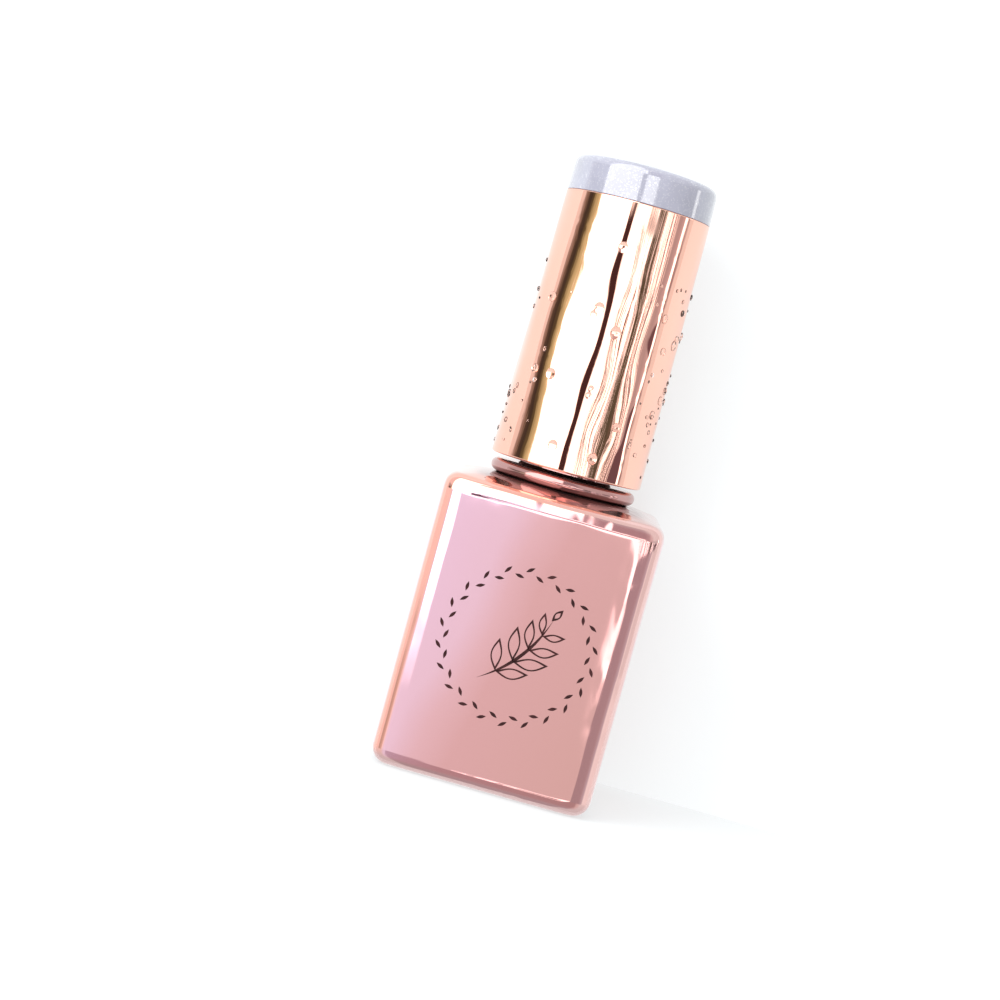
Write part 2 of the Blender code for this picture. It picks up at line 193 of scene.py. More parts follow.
def square_ring(half_x: float, half_y: float, radius: float, z: float, count: int) -> Ring:
    """Points of a rounded rectangle about the Z axis, half of them on its corners.

    Args:
        half_x: Half its width.
        half_y: Half its depth.
        radius: Corner radius.
        z: Height.
        count: Number of points, a multiple of 16.

    Returns:
        The points.
    """
    arc = count // 8
    flat = (count // 4 - arc) // 2

    def side(u: float, v: float) -> Profile:
        """One side and its corner.

        Args:
            u: Distance of the side from the middle.
            v: Half its length.

        Returns:
            Its points.
        """
        angles = [math.pi / 2 * i / arc for i in range(arc)]
        points = [(u, (v - radius) * i / flat) for i in range(flat)]
        points += [(u - radius + radius * math.cos(a), v - radius + radius * math.sin(a)) for a in angles]
        return points + [((u - radius) * (1 - i / flat), v) for i in range(flat)]

    return four_sides(half_x, half_y, z, side)


def crowned_ring(half_x: float, half_y: float, inset: float, z: float, count: int) -> Ring:
    """Outline of pressed glass: its sides bow slightly before their tight corners.

    Args:
        half_x: Half its width before the inset, in millimetres.
        half_y: Half its depth before the inset.
        inset: How far the outline is drawn in, square to itself.
        z: Height.
        count: Number of points, a multiple of 16.

    Returns:
        The points, in metres.
    """
    soft, tight, start = 17.0, 2.2, math.radians(10)
    end = math.pi / 2 - start
    turns = [start * i / 4 for i in range(4)]
    turns += [start + (math.pi / 2 - 2 * start) * i / 8 for i in range(8)]
    turns += [end + start * i / 4 for i in range(4)]

    def travel(angle: float) -> float:
        """How far the corner has run along its side.

        Args:
            angle: How far it has turned, in radians.

        Returns:
            The run.
        """
        first = soft * math.sin(min(angle, start))
        middle = tight * (math.sin(min(max(angle, start), end)) - math.sin(start))
        last = soft * (math.sin(max(angle, end)) - math.cos(start))
        return first + middle + last

    whole = travel(math.pi / 2)
    flat = (count // 4 - len(turns)) // 2

    def side(u: float, v: float) -> Profile:
        """One side and its corner.

        Args:
            u: Distance of the side from the middle before the inset.
            v: Half its length before the inset.

        Returns:
            Its points.
        """
        points = [(u - inset, (v - whole) * i / flat) for i in range(flat)]
        for angle in turns:
            x = u - (whole - travel(math.pi / 2 - angle)) - inset * math.cos(angle)
            points.append((x, v - whole + travel(angle) - inset * math.sin(angle)))
        return points + [((u - whole) * (1 - i / flat), v - inset) for i in range(flat)]

    return [(x * MM, y * MM, level * MM) for x, y, level in four_sides(half_x, half_y, z, side)]


def arc_profile(
    centre_r: float, centre_z: float, radius: float, start: float, end: float, steps: int
) -> Profile:
    """Points (r, z) along an arc about a centre, from a start to an end angle in degrees, both included."""
    angles = [math.radians(start + (end - start) * i / steps) for i in range(steps + 1)]
    return [(centre_r + radius * math.cos(a), centre_z + radius * math.sin(a)) for a in angles]


class RingSkin:
    """A surface drawn ring by ring with the extrude operator."""

    def __init__(self, name: str, first: Ring) -> None:
        """Add a circle primitive and give it the first outline.

        Args:
            name: Name of the new object.
            first: Its first ring of points.
        """
        deselect_all()
        bpy.ops.mesh.primitive_circle_add(vertices=len(first), radius=MM)
        self.obj = bpy.context.object
        self.obj.name = name
        self.obj.data.name = name
        bpy.ops.object.mode_set(mode="EDIT")
        bpy.ops.mesh.select_all(action="SELECT")
        mesh = bmesh.from_edit_mesh(self.obj.data)
        for vert, point in zip(mesh.verts, first):
            vert.co = point
        self.places = [tuple(vert.co) for vert in mesh.verts]
        bmesh.update_edit_mesh(self.obj.data)

    def extrude(self, ring: Ring) -> None:
        """Extrude the last ring and move the new one to its outline.

        Args:
            ring: The new ring's points, as many as the first has.
        """
        bpy.ops.mesh.extrude_region_move()
        mesh = bmesh.from_edit_mesh(self.obj.data)
        order = {place: i for i, place in enumerate(self.places)}
        places: list[Point] = list(self.places)
        for vert in mesh.verts:
            if vert.select:
                i = order[tuple(vert.co)]
                vert.co = ring[i]
                places[i] = tuple(vert.co)
        self.places = places
        bmesh.update_edit_mesh(self.obj.data)

    def finish(self, loop: bool = False) -> Piece:
        """Close the two ends, or join the last ring to the first, and point the faces out.

        Args:
            loop: True where the section is a closed loop, as on a washer.

        Returns:
            The closed object, in object mode.
        """
        if loop:
            bpy.ops.mesh.select_all(action="DESELECT")
            bpy.ops.mesh.select_non_manifold()
            bpy.ops.mesh.bridge_edge_loops()
        else:
            bpy.ops.mesh.edge_face_add()
            bpy.ops.mesh.select_all(action="DESELECT")
            bpy.ops.mesh.select_non_manifold()
            bpy.ops.mesh.edge_face_add()
        bpy.ops.mesh.select_all(action="SELECT")
        bpy.ops.mesh.normals_make_consistent(inside=False)
        bpy.ops.object.mode_set(mode="OBJECT")
        return self.obj


def skinned(name: str, rings: list[Ring]) -> Piece:
    """Closed piece drawn through rings of points.

    Args:
        name: Name of the piece.
        rings: Its rings in order, all with the same number of points.

    Returns:
        The piece.
    """
    skin = RingSkin(name, rings[0])
    for ring in rings[1:]:
        skin.extrude(ring)
    return skin.finish()


def turned(name: str, profile: Profile, count: int) -> Piece:
    """Closed round piece about the Z axis, through rings whose radius and height are in millimetres."""
    return skinned(name, [round_ring(r * MM, z * MM, count) for r, z in profile])


def warp(obj: Piece, move: Callable[[Vector], Vector]) -> None:
    """Move every vertex by a function of its place.

    Args:
        obj: The object to change.
        move: Gives the shift of a point.
    """
    for vert in obj.data.vertices:
        vert.co = vert.co + move(vert.co.copy())
    obj.data.update()


# ---------------------------------------------------------------- finishes


class Nodes:
    """Short ways to add and wire shader nodes of one material or world."""

    def __init__(self, tree: bpy.types.NodeTree) -> None:
        """Keep the node tree to build in."""
        self.tree = tree

    def add(self, kind: str, **values: object) -> bpy.types.Node:
        """Add a node and set its properties or, by name, its inputs.

        Args:
            kind: Node type without its ShaderNode prefix.
            **values: Properties in lower case, or inputs with spaces as underscores.

        Returns:
            The node.
        """
        node = self.tree.nodes.new("ShaderNode" + kind)
        for key, value in values.items():
            if hasattr(node, key):
                setattr(node, key, value)
            else:
                self.feed(node, **{key: value})
        return node

    def feed(self, node: bpy.types.Node, **values: object) -> None:
        """Wire or set several inputs of a node, by name with spaces as underscores."""
        for key, value in values.items():
            self.put(value, node.inputs[key.replace("_", " ")])

    def put(self, value: object, socket: Socket) -> None:
        """Wire an output into a socket, or set the socket's own value.

        Args:
            value: An output socket, a number or a colour.
            socket: The input to feed.
        """
        if isinstance(value, Socket):
            self.tree.links.new(value, socket)
        elif isinstance(value, tuple) and len(value) == 3 and socket.type == "RGBA":
            socket.default_value = (*value, 1.0)
        else:
            socket.default_value = value

    def stretched(self, vector: Socket, scale: Point) -> Socket:
        """A vector scaled along each axis."""
        return self.add("Mapping", Vector=vector, Scale=scale).outputs["Vector"]

    def place(self, scale: Point = (1.0, 1.0, 1.0)) -> Socket:
        """Object coordinates, scaled along each axis."""
        return self.stretched(self.add("TexCoord").outputs["Object"], scale)

    def noise(self, vector: Socket, scale: float, detail: float = 2.0, distortion: float = 0.0) -> Socket:
        """Noise value at a vector, with a number of finer octaves."""
        node = self.add("TexNoise", Vector=vector, Scale=scale, Detail=detail, Distortion=distortion)
        return node.outputs["Fac"]

    def math(self, operation: str, *values: object) -> Socket:
        """Math node.

        Args:
            operation: Its operation.
            *values: Numbers or sockets, in order.

        Returns:
            The value output.
        """
        node = self.add("Math", operation=operation)
        for value, socket in zip(values, node.inputs):
            self.put(value, socket)
        return node.outputs[0]

    def scaled(self, value: object, factor: object, shift: object) -> Socket:
        """A value times a factor, plus a shift."""
        return self.math("MULTIPLY_ADD", value, factor, shift)

    def times(self, first: object, second: object) -> Socket:
        """The product of two values."""
        return self.math("MULTIPLY", first, second)

    def ramp(self, factor: object, stops: Iterable[tuple[float, Colour]]) -> Socket:
        """Colour ramp.

        Args:
            factor: The socket or number that it reads.
            stops: Position and colour of each stop, in order.

        Returns:
            The colour output.
        """
        node = self.add("ValToRGB", Fac=factor)
        band = node.color_ramp
        for i, (position, colour) in enumerate(stops):
            stop = band.elements[i] if i < 2 else band.elements.new(position)
            stop.position = position
            stop.color = (*colour, 1.0)
        return node.outputs["Color"]

    def mix(self, factor: object, first: object, second: object, blend: str = "MIX") -> Socket:
        """Colour mix.

        Args:
            factor: Share of the second colour.
            first: First colour or socket.
            second: Second colour or socket.
            blend: Blend type.

        Returns:
            The colour output.
        """
        node = self.add("Mix", data_type="RGBA", blend_type=blend)
        for value, index in ((factor, 0), (first, 6), (second, 7)):
            self.put(value, node.inputs[index])
        return node.outputs[2]

    def step(self, value: object, edge: Edge) -> Socket:
        """Smooth step.

        Args:
            value: The number or socket that it reads.
            edge: Value that gives 0 and value that gives 1, the larger first for a falling step.

        Returns:
            The value output.
        """
        node = self.add("MapRange", interpolation_type="SMOOTHSTEP", Value=value)
        self.feed(node, From_Min=edge[0], From_Max=edge[1])
        return node.outputs["Result"]

    def band(self, value: object, band: Band) -> Socket:
        """Smooth band, 1 inside and 0 outside."""
        start, full, fade, end = band
        return self.times(self.step(value, (start, full)), self.step(value, (end, fade)))

    def bump(self, height: object, strength: object, distance: float) -> Socket:
        """Normal of a bump whose height of 1 is a distance in metres."""
        return self.add("Bump", Strength=strength, Distance=distance, Height=height).outputs["Normal"]


def new_material(name: str) -> tuple[Material, Nodes, bpy.types.Node]:
    """Empty node material with its shader.

    Args:
        name: Name of the material.

    Returns:
        The material, its node helper and its Principled shader.
    """
    material = bpy.data.materials.new(name)
    material.use_nodes = True
    shader = material.node_tree.nodes["Principled BSDF"]
    return material, Nodes(material.node_tree), shader


def tone(colour: Colour, factor: float) -> Colour:
    """A colour with each channel multiplied by a factor."""
    return (colour[0] * factor, colour[1] * factor, colour[2] * factor)


@dataclass(frozen=True)
class MirrorMetallising:
    """Vacuum-metallised rose gold on glossy plastic, with the slight waves of the moulding."""

    colour: Colour = (0.98, 0.57, 0.455)
    roughness: float = 0.025
    wavy_part: Band = (0.0405, 0.047, 0.064, 0.0755)
    wave_height: float = 0.0007
    calm_strength: float = 0.15

    def build(self) -> Material:
        """Make the material.

        Returns:
            The material.
        """
        material, nodes, shader = new_material("mirror_rose_gold")
        cloud = nodes.noise(nodes.place(), 90.0)
        shade = nodes.ramp(cloud, ((0.3, tone(self.colour, 0.97)), (0.7, self.colour)))
        wave = nodes.noise(nodes.place((1.0, 1.0, 0.34)), 150.0, 1.0)
        pull = nodes.noise(nodes.place((1.0, 1.0, 0.08)), 1400.0, 2.0)
        height = nodes.scaled(pull, 0.004, wave)
        level = nodes.add("SeparateXYZ", Vector=nodes.place()).outputs["Z"]
        loose = nodes.band(level, self.wavy_part)
        strength = nodes.scaled(loose, 1.0 - self.calm_strength, self.calm_strength)
        haze = nodes.scaled(nodes.noise(nodes.place(), 300.0), 0.02, self.roughness - 0.01)
        normal = nodes.bump(height, strength, self.wave_height)
        nodes.feed(shader, Base_Color=shade, Metallic=1.0, Roughness=haze, Normal=normal)
        return material


@dataclass(frozen=True)
class PearlGlass:
    """Pearly metallised glass: lilac at the left of the front, salmon at its right, peach round the sides,
    with painted shade on the right sides, the base's edge, the neck and the bead.
    """

    front: tuple[tuple[float, Colour], ...] = (
        (0.0, (0.83, 0.53, 0.66)),
        (0.2, (0.81, 0.51, 0.60)),
        (0.3, (0.76, 0.435, 0.465)),
        (0.43, (0.70, 0.375, 0.375)),
        (1.0, (0.66, 0.36, 0.335)),
    )
    flank: tuple[tuple[float, Colour], ...] = (
        (0.0, (0.90, 0.60, 0.66)),
        (0.3, (0.92, 0.56, 0.56)),
        (0.62, (0.96, 0.52, 0.44)),
        (1.0, (0.88, 0.50, 0.44)),
    )
    # Painted light: the sides are a bright peach on the left, where the light comes from, and a duller shaded
    # blush on the right.
    peach: Colour = (0.96, 0.49, 0.41)
    shaded_blush: Colour = (0.80, 0.52, 0.49)
    # Painted shade: the neck and bead are a darker rose for the shade under the cap, and the strip just below
    # the bead is darker still.
    rose: Colour = (0.50, 0.28, 0.265)
    # Painted shade: a darker mauve along the rounded edge of the base.
    foot: Colour = (0.64, 0.44, 0.43)
    foot_edge: Edge = (0.0024, 0.0008)
    shoulder_edge: Edge = (0.0371, 0.0376)
    bead_edge: Edge = (0.0379, 0.0384)
    blush_edge: Edge = (-0.004, 0.009)
    front_edge: Edge = (0.86, 0.96)
    flank_edge: Edge = (0.93, 0.985)
    corner_edge: Edge = (0.9999, 0.99)
    ripple_edge: Edge = (-0.012, 0.006)
    ripple_height: float = 0.000028

    def build(self) -> Material:
        """Make the material.

        Returns:
            The material.
        """
        material, nodes, shader = new_material("pearl_metallised_glass")
        place = nodes.add("SeparateXYZ", Vector=nodes.place())
        across, up = place.outputs["X"], place.outputs["Z"]
        normal = nodes.add("SeparateXYZ", Vector=nodes.add("TexCoord").outputs["Normal"])
        facing = nodes.times(normal.outputs["Y"], -1.0)
        sideways = nodes.math("ABSOLUTE", normal.outputs["X"])
        drift = nodes.scaled(nodes.noise(nodes.place(), 60.0, 1.0), 0.22, -0.11)
        slant = nodes.scaled(up, -8.0, nodes.scaled(across, 34.0, 0.62))
        front = nodes.ramp(nodes.math("ADD", slant, drift), self.front)
        lean = nodes.scaled(up, -9.0, nodes.scaled(place.outputs["Y"], 24.0, 0.62))
        shimmer = nodes.ramp(nodes.math("ADD", lean, drift), self.flank)
        broad = nodes.math("MAXIMUM", sideways, normal.outputs["Y"])
        # Painted light: bright peach on the left sides, shaded blush on the right.
        sides = nodes.mix(nodes.step(across, self.blush_edge), self.peach, self.shaded_blush)
        sides = nodes.mix(nodes.step(broad, self.flank_edge), sides, shimmer)
        # Painted shade: darker mauve at the base's rounded edge.
        sides = nodes.mix(nodes.step(up, self.foot_edge), sides, self.foot)
        body = nodes.mix(nodes.step(facing, self.front_edge), sides, front)
        # Painted shade: darker neck and bead under the cap, darkest just below the bead.
        neck = nodes.mix(nodes.step(up, self.bead_edge), tone(self.rose, 0.66), self.rose)
        colour = nodes.mix(nodes.step(up, self.shoulder_edge), body, neck)
        haze = nodes.scaled(nodes.noise(nodes.place(), 700.0, 3.0), 0.03, 0.03)
        flat = nodes.math("MAXIMUM", facing, sideways)
        edge = nodes.times(nodes.step(flat, self.corner_edge), nodes.step(across, self.ripple_edge))
        ripple = nodes.noise(nodes.place((1.0, 1.0, 0.6)), 260.0, 1.0, 0.4)
        wave = nodes.times(ripple, nodes.scaled(edge, 4.6, 0.5))
        height = nodes.scaled(nodes.noise(nodes.place(), 75.0, 1.0), 1.6, wave)
        relief = nodes.bump(height, 1.0, self.ripple_height)
        nodes.feed(shader, Base_Color=colour, Metallic=0.95, Roughness=haze, Normal=relief)
        return material


@dataclass(frozen=True)
class GlitterGel:
    """Lilac-grey gel with fine silver glitter under a glossy skin."""

    colour: Colour = (0.30, 0.30, 0.37)
    flake: Colour = (0.95, 0.95, 1.0)

    def build(self) -> Material:
        """Make the material.

        Returns:
            The material.
        """
        material, nodes, shader = new_material("glitter_gel")
        cloud = nodes.noise(nodes.place(), 260.0, 3.0)
        base = nodes.ramp(cloud, ((0.3, tone(self.colour, 0.93)), (0.7, tone(self.colour, 1.06))))
        fine = self.flakes(nodes, 6800.0, 0.74, 0.42)
        bold = self.flakes(nodes, 3300.0, 0.93, 0.3)
        speck = nodes.math("MAXIMUM", nodes.times(fine, 0.3), nodes.times(bold, 0.8))
        nodes.feed(
            shader,
            Base_Color=nodes.mix(speck, base, self.flake),
            Metallic=nodes.times(speck, 0.75),
            Roughness=nodes.scaled(cloud, 0.06, 0.1),
            Coat_Weight=1.0,
            Coat_IOR=1.95,
            Coat_Roughness=0.012,
        )
        return material

    def flakes(self, nodes: Nodes, scale: float, rarity: float, size: float) -> Socket:
        """Mask of small round flakes.

        Args:
            nodes: The material's node helper.
            scale: Cells to the metre.
            rarity: Share of the cells that stay empty.
            size: Radius of a flake as a share of its cell.

        Returns:
            1 on a flake and 0 elsewhere.
        """
        cells = nodes.add("TexVoronoi", Vector=nodes.place(), Scale=scale)
        chance = nodes.add("SeparateColor", Color=cells.outputs["Color"])
        chosen = nodes.math("GREATER_THAN", chance.outputs[0], rarity)
        near = nodes.math("LESS_THAN", cells.outputs["Distance"], size)
        return nodes.times(chosen, near)


@dataclass(frozen=True)
class Moulded:
    """Injection-moulded plastic with a fine grain."""

    name: str
    colour: Colour
    roughness: float = 0.35
    grain: float = 2600.0
    grain_height: float = 0.00002

    def build(self) -> Material:
        """Make the material.

        Returns:
            The material.
        """
        material, nodes, shader = new_material(self.name)
        grain = nodes.noise(nodes.place(), self.grain, 3.0)
        shade = nodes.ramp(grain, ((0.3, tone(self.colour, 0.9)), (0.7, tone(self.colour, 1.05))))
        rough = nodes.scaled(grain, 0.12, self.roughness - 0.06)
        relief = nodes.bump(grain, 0.25, self.grain_height)
        nodes.feed(shader, Base_Color=shade, Roughness=rough, Normal=relief)
        return material


@dataclass(frozen=True)
class BrightSteel:
    """Drawn or ground steel with fine marks."""

    name: str
    stretch: Point = (1.0, 1.0, 1.0)
    colour: Colour = (0.62, 0.62, 0.63)

    def build(self) -> Material:
        """Make the material.

        Returns:
            The material.
        """
        material, nodes, shader = new_material(self.name)
        marks = nodes.noise(nodes.place(self.stretch), 2500.0, 4.0)
        shade = nodes.ramp(marks, ((0.3, tone(self.colour, 0.85)), (0.7, self.colour)))
        nodes.feed(shader, Base_Color=shade, Metallic=1.0, Roughness=nodes.scaled(marks, 0.2, 0.12))
        return material


@dataclass(frozen=True)
class PrintInk:
    """Dark brown ink printed on the glass."""

    colour: Colour = (0.022, 0.006, 0.006)

    def build(self) -> Material:
        """Make the material.

        Returns:
            The material.
        """
        material, nodes, shader = new_material("print_ink")
        patch = nodes.noise(nodes.place(), 900.0, 2.0)
        shade = nodes.ramp(patch, ((0.35, self.colour), (0.75, tone(self.colour, 2.2))))
        rough = nodes.scaled(patch, 0.15, 0.35)
        nodes.feed(shader, Base_Color=shade, Roughness=rough, Specular_IOR_Level=0.15)
        return material


@dataclass(frozen=True)
class ClearWater:
    """Drops of clean water."""

    refraction: float = 1.33
    ripple_height: float = 0.00001

    def build(self) -> Material:
        """Make the material.

        Returns:
            The material.
        """
        material, nodes, shader = new_material("clear_water")
        relief = nodes.bump(nodes.noise(nodes.place(), 1800.0, 1.0), 0.1, self.ripple_height)
        nodes.feed(shader, Base_Color=WHITE, Roughness=0.0, IOR=self.refraction)
        nodes.feed(shader, Transmission_Weight=1.0, Normal=relief)
        return material


def dress(
    obj: Piece,
    material: Material,
    body: Body,
    stands_for: tuple[str, ...] = (),
) -> None:
    """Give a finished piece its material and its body.

    Args:
        obj: The piece, with its place in its mesh.
        material: Its material.
        body: The body that it rides on.
        stands_for: CAD nodes that it replaces.
    """
    obj.data.materials.clear()
    obj.data.materials.append(material)
    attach(obj, body.value)
    if stands_for:
        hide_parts(*stands_for)
    LOG.info("%s: %d faces on body %s", obj.name, len(obj.data.polygons), body.value)


# ---------------------------------------------------------------- sub-assemblies


@dataclass
class GlassBottle:
    """Square bottle with rounded edges, a bead under the cap and a threaded neck. Sizes in millimetres."""

    low: Vector
    high: Vector
    body_height: float = 37.0
    base_edge: float = 2.0
    shoulder_edge: float = 1.7
    shoulder_arcs: tuple[tuple[float, float, float, int], ...] = (
        (0.0, 1.3, 14.0, 3),
        (1.3, 7.5, 1.0, 3),
        (7.5, 12.0, 7.0, 4),
    )
    rise: float = 0.9
    wall: float = 2.6
    cavity_corner: float = 2.2
    floor: float = 4.0
    push_up: float = 0.9
    push_up_radius: float = 9.8
    bead_height: float = 1.7
    bead_radius: float = 9.4
    neck_radius: float = 5.8
    bore_radius: float = 4.0
    lip: float = 0.5
    points: int = 128
    seed: int = 3

    def outline(self, inset: float, z: float) -> Ring:
        """The body's outline at a height, drawn in by an inset."""
        return crowned_ring(self.high.x / MM, self.high.y / MM, inset, z, self.points)

    def circle(self, radius: float, z: float) -> Ring:
        """A round ring at a height."""
        return round_ring(radius * MM, z * MM, self.points)

    def outside(self) -> list[Ring]:
        """Rings from the hollow under the base up to the lip.

        Returns:
            The rings, in metres.
        """
        rings = [
            self.circle(2.0, self.push_up),
            self.circle(self.push_up_radius - self.push_up - 0.2, self.push_up),
            self.circle(self.push_up_radius - self.push_up, self.push_up - 0.1),
            self.circle(self.push_up_radius - 0.2, 0.15),
            self.circle(self.push_up_radius, 0.0),
        ]
        for r, z in arc_profile(0.0, self.base_edge, self.base_edge, -90, 0, 8):
            rings.append(self.outline(self.base_edge - r, z))
        edge = self.shoulder_profile()
        straight_top = edge[0][1]
        for share in (0.003, *(i / 16 for i in range(1, 16)), 0.997):
            rings.append(self.outline(0.0, self.base_edge + (straight_top - self.base_edge) * share))
        for inset, z in edge:
            rings.append(self.outline(inset, z))
        bead_foot = self.body_height + self.rise
        rings.append(self.blend_ring(0.5, bead_foot - 0.4))
        roll = self.bead_height / 2
        for r, z in arc_profile(self.bead_radius - roll, bead_foot + roll, roll, -100, 90, 14):
            rings.append(self.circle(r, z))
        bead_top = bead_foot + self.bead_height
        lip_z = self.high.z / MM
        rings.append(self.circle(self.neck_radius + 0.3, bead_top))
        rings.append(self.circle(self.neck_radius, bead_top + 0.3))
        rings.append(self.circle(self.neck_radius, lip_z - self.lip))
        for r, z in arc_profile(self.neck_radius - self.lip, lip_z - self.lip, self.lip, 30, 90, 3):
            rings.append(self.circle(r, z))
        return rings

    def shoulder_profile(self) -> Profile:
        """Inset and height of each ring round the shoulder's edge: soft, tight, soft and tight arcs in turn.

        Returns:
            The pairs in millimetres, from the straight side up to the body's height.
        """
        arcs = list(self.shoulder_arcs)
        drawn = sum(radius * (cosine(a) - cosine(b)) for a, b, radius, _ in arcs)
        last = arcs[-1][1]
        arcs.append((last, 90.0, (self.shoulder_edge - drawn) / cosine(last), 9))
        rise = sum(radius * (sine(b) - sine(a)) for a, b, radius, _ in arcs)
        inset, z = 0.0, self.body_height - rise
        profile = [(inset, z)]
        for first, second, radius, steps in arcs:
            for i in range(steps):
                a = first + (second - first) * i / steps
                b = first + (second - first) * (i + 1) / steps
                inset += radius * (cosine(a) - cosine(b))
                z += radius * (sine(b) - sine(a))
                profile.append((inset, z))
        return profile

    def blend_ring(self, share: float, z: float) -> Ring:
        """A ring part of the way from the shoulder's outline to the bead's foot.

        Args:
            share: 0 for the shoulder's outline and 1 for the bead's foot.
            z: Height in millimetres.

        Returns:
            The ring, in metres.
        """
        square = self.outline(self.shoulder_edge, z)
        circle = self.circle(self.bead_radius - self.bead_height / 2, z)
        pairs = zip(square, circle)
        return [(a[0] + (b[0] - a[0]) * share, a[1] + (b[1] - a[1]) * share, z * MM) for a, b in pairs]

    def inside(self) -> list[Ring]:
        """Rings from the lip down the bore to the cavity floor.

        Returns:
            The rings, in metres.
        """
        lip_z = self.high.z / MM
        bead_foot = self.body_height + self.rise
        roof = self.body_height - self.wall
        rings = [
            self.circle(self.bore_radius + self.lip / 2, lip_z),
            self.circle(self.bore_radius, lip_z - self.lip),
            self.circle(self.bore_radius, bead_foot),
            self.circle(self.bore_radius + 1.6, bead_foot - 1.8),
            self.cavity_ring(1.6, roof),
        ]
        for depth, inset in ((0.6, 0.2), (1.4, 0.0)):
            rings.append(self.cavity_ring(inset, roof - depth))
        for inset, z in ((0.0, self.floor + 1.4), (0.4, self.floor + 0.4), (1.4, self.floor)):
            rings.append(self.cavity_ring(inset, z))
        return rings

    def cavity_ring(self, inset: float, z: float) -> Ring:
        """The cavity's outline at a height.

        Args:
            inset: How far it is drawn in, in millimetres.
            z: Height in millimetres.

        Returns:
            The ring, in metres.
        """
        half_x = (self.high.x - self.low.x) / 2 - (self.wall + inset) * MM
        half_y = (self.high.y - self.low.y) / 2 - (self.wall + inset) * MM
        return square_ring(half_x, half_y, (self.cavity_corner - inset) * MM, z * MM, self.points)

    def waver(self, point: Vector) -> Vector:
        """Slight waves of pressed glass, strongest at the rounded edges of the body.

        Args:
            point: A point of the glass.

        Returns:
            How far it moves.
        """
        if point.z > self.body_height * MM or self.is_inside(point):
            return Vector((0.0, 0.0, 0.0))
        across = (abs(point.x) / self.high.x) ** 6
        deep = (abs(point.y) / self.high.y) ** 6
        level = min(1.0, max(0.0, (point.z / MM - 0.6) / 3.0))
        edge = across * deep * level
        wave = noise.noise_vector(point * 330.0) * 0.05 * MM
        wave += noise.noise_vector(point * 120.0) * 0.06 * MM
        lift = (point.z / (self.body_height * MM)) ** 12
        sag = noise.noise_vector(point * 260.0) * 0.045 * MM * lift
        return wave * edge + sag

    def is_inside(self, point: Vector) -> bool:
        """Tell whether a point is on the cavity's wall.

        Args:
            point: A point of the glass.

        Returns:
            True on the wall of the cavity.
        """
        room = (self.wall - 0.3) * MM
        within = max(abs(point.x), abs(point.y)) < self.high.x - room
        return within and point.z > self.base_edge * MM and point.z < (self.body_height - 0.4) * MM

    def thread(self) -> Piece:
        """Right-hand helical ridge on the neck with tapered ends.

        Returns:
            The ridge, a closed piece that reaches into the neck.
        """
        stations, per_turn, pitch, taper = 96, 64, 2.12, 8
        top = self.high.z / MM - 2.0
        root, foot = self.neck_radius - 0.25, self.neck_radius
        rings: list[Ring] = []
        for i in range(stations + 1):
            height = min(1.0, i / taper, (stations - i) / taper)
            angle = 2 * math.pi * i / per_turn
            z = top - pitch * (stations - i) / per_turn
            crest, side = foot + 0.05 + 0.6 * height, foot + 0.1 * height
            radii = (root, side, crest, crest, side, root)
            section = zip(radii, (-0.55, -0.45, -0.25, 0.25, 0.45, 0.55))
            along, across = math.cos(angle), math.sin(angle)
            rings.append([(r * along * MM, r * across * MM, (z + dz) * MM) for r, dz in section])
        return skinned("neck_thread", rings)

    def build(self, finish: PearlGlass) -> None:
        """Model and dress the bottle.

        Args:
            finish: The glass's finish.
        """
        bottle = skinned("bottle_glass", self.outside() + self.inside())
        noise.seed_set(self.seed)
        warp(bottle, self.waver)
        ridge = self.thread()
        union = bottle.modifiers.new("thread", "BOOLEAN")
        union.operation = "UNION"
        union.solver = "EXACT"
        union.object = ridge
        apply_modifiers(bottle)
        bpy.data.objects.remove(ridge)
        smooth(bottle, 40.0)
        dress(bottle, finish.build(), Body.BOTTLE, ("glass_bottle",))


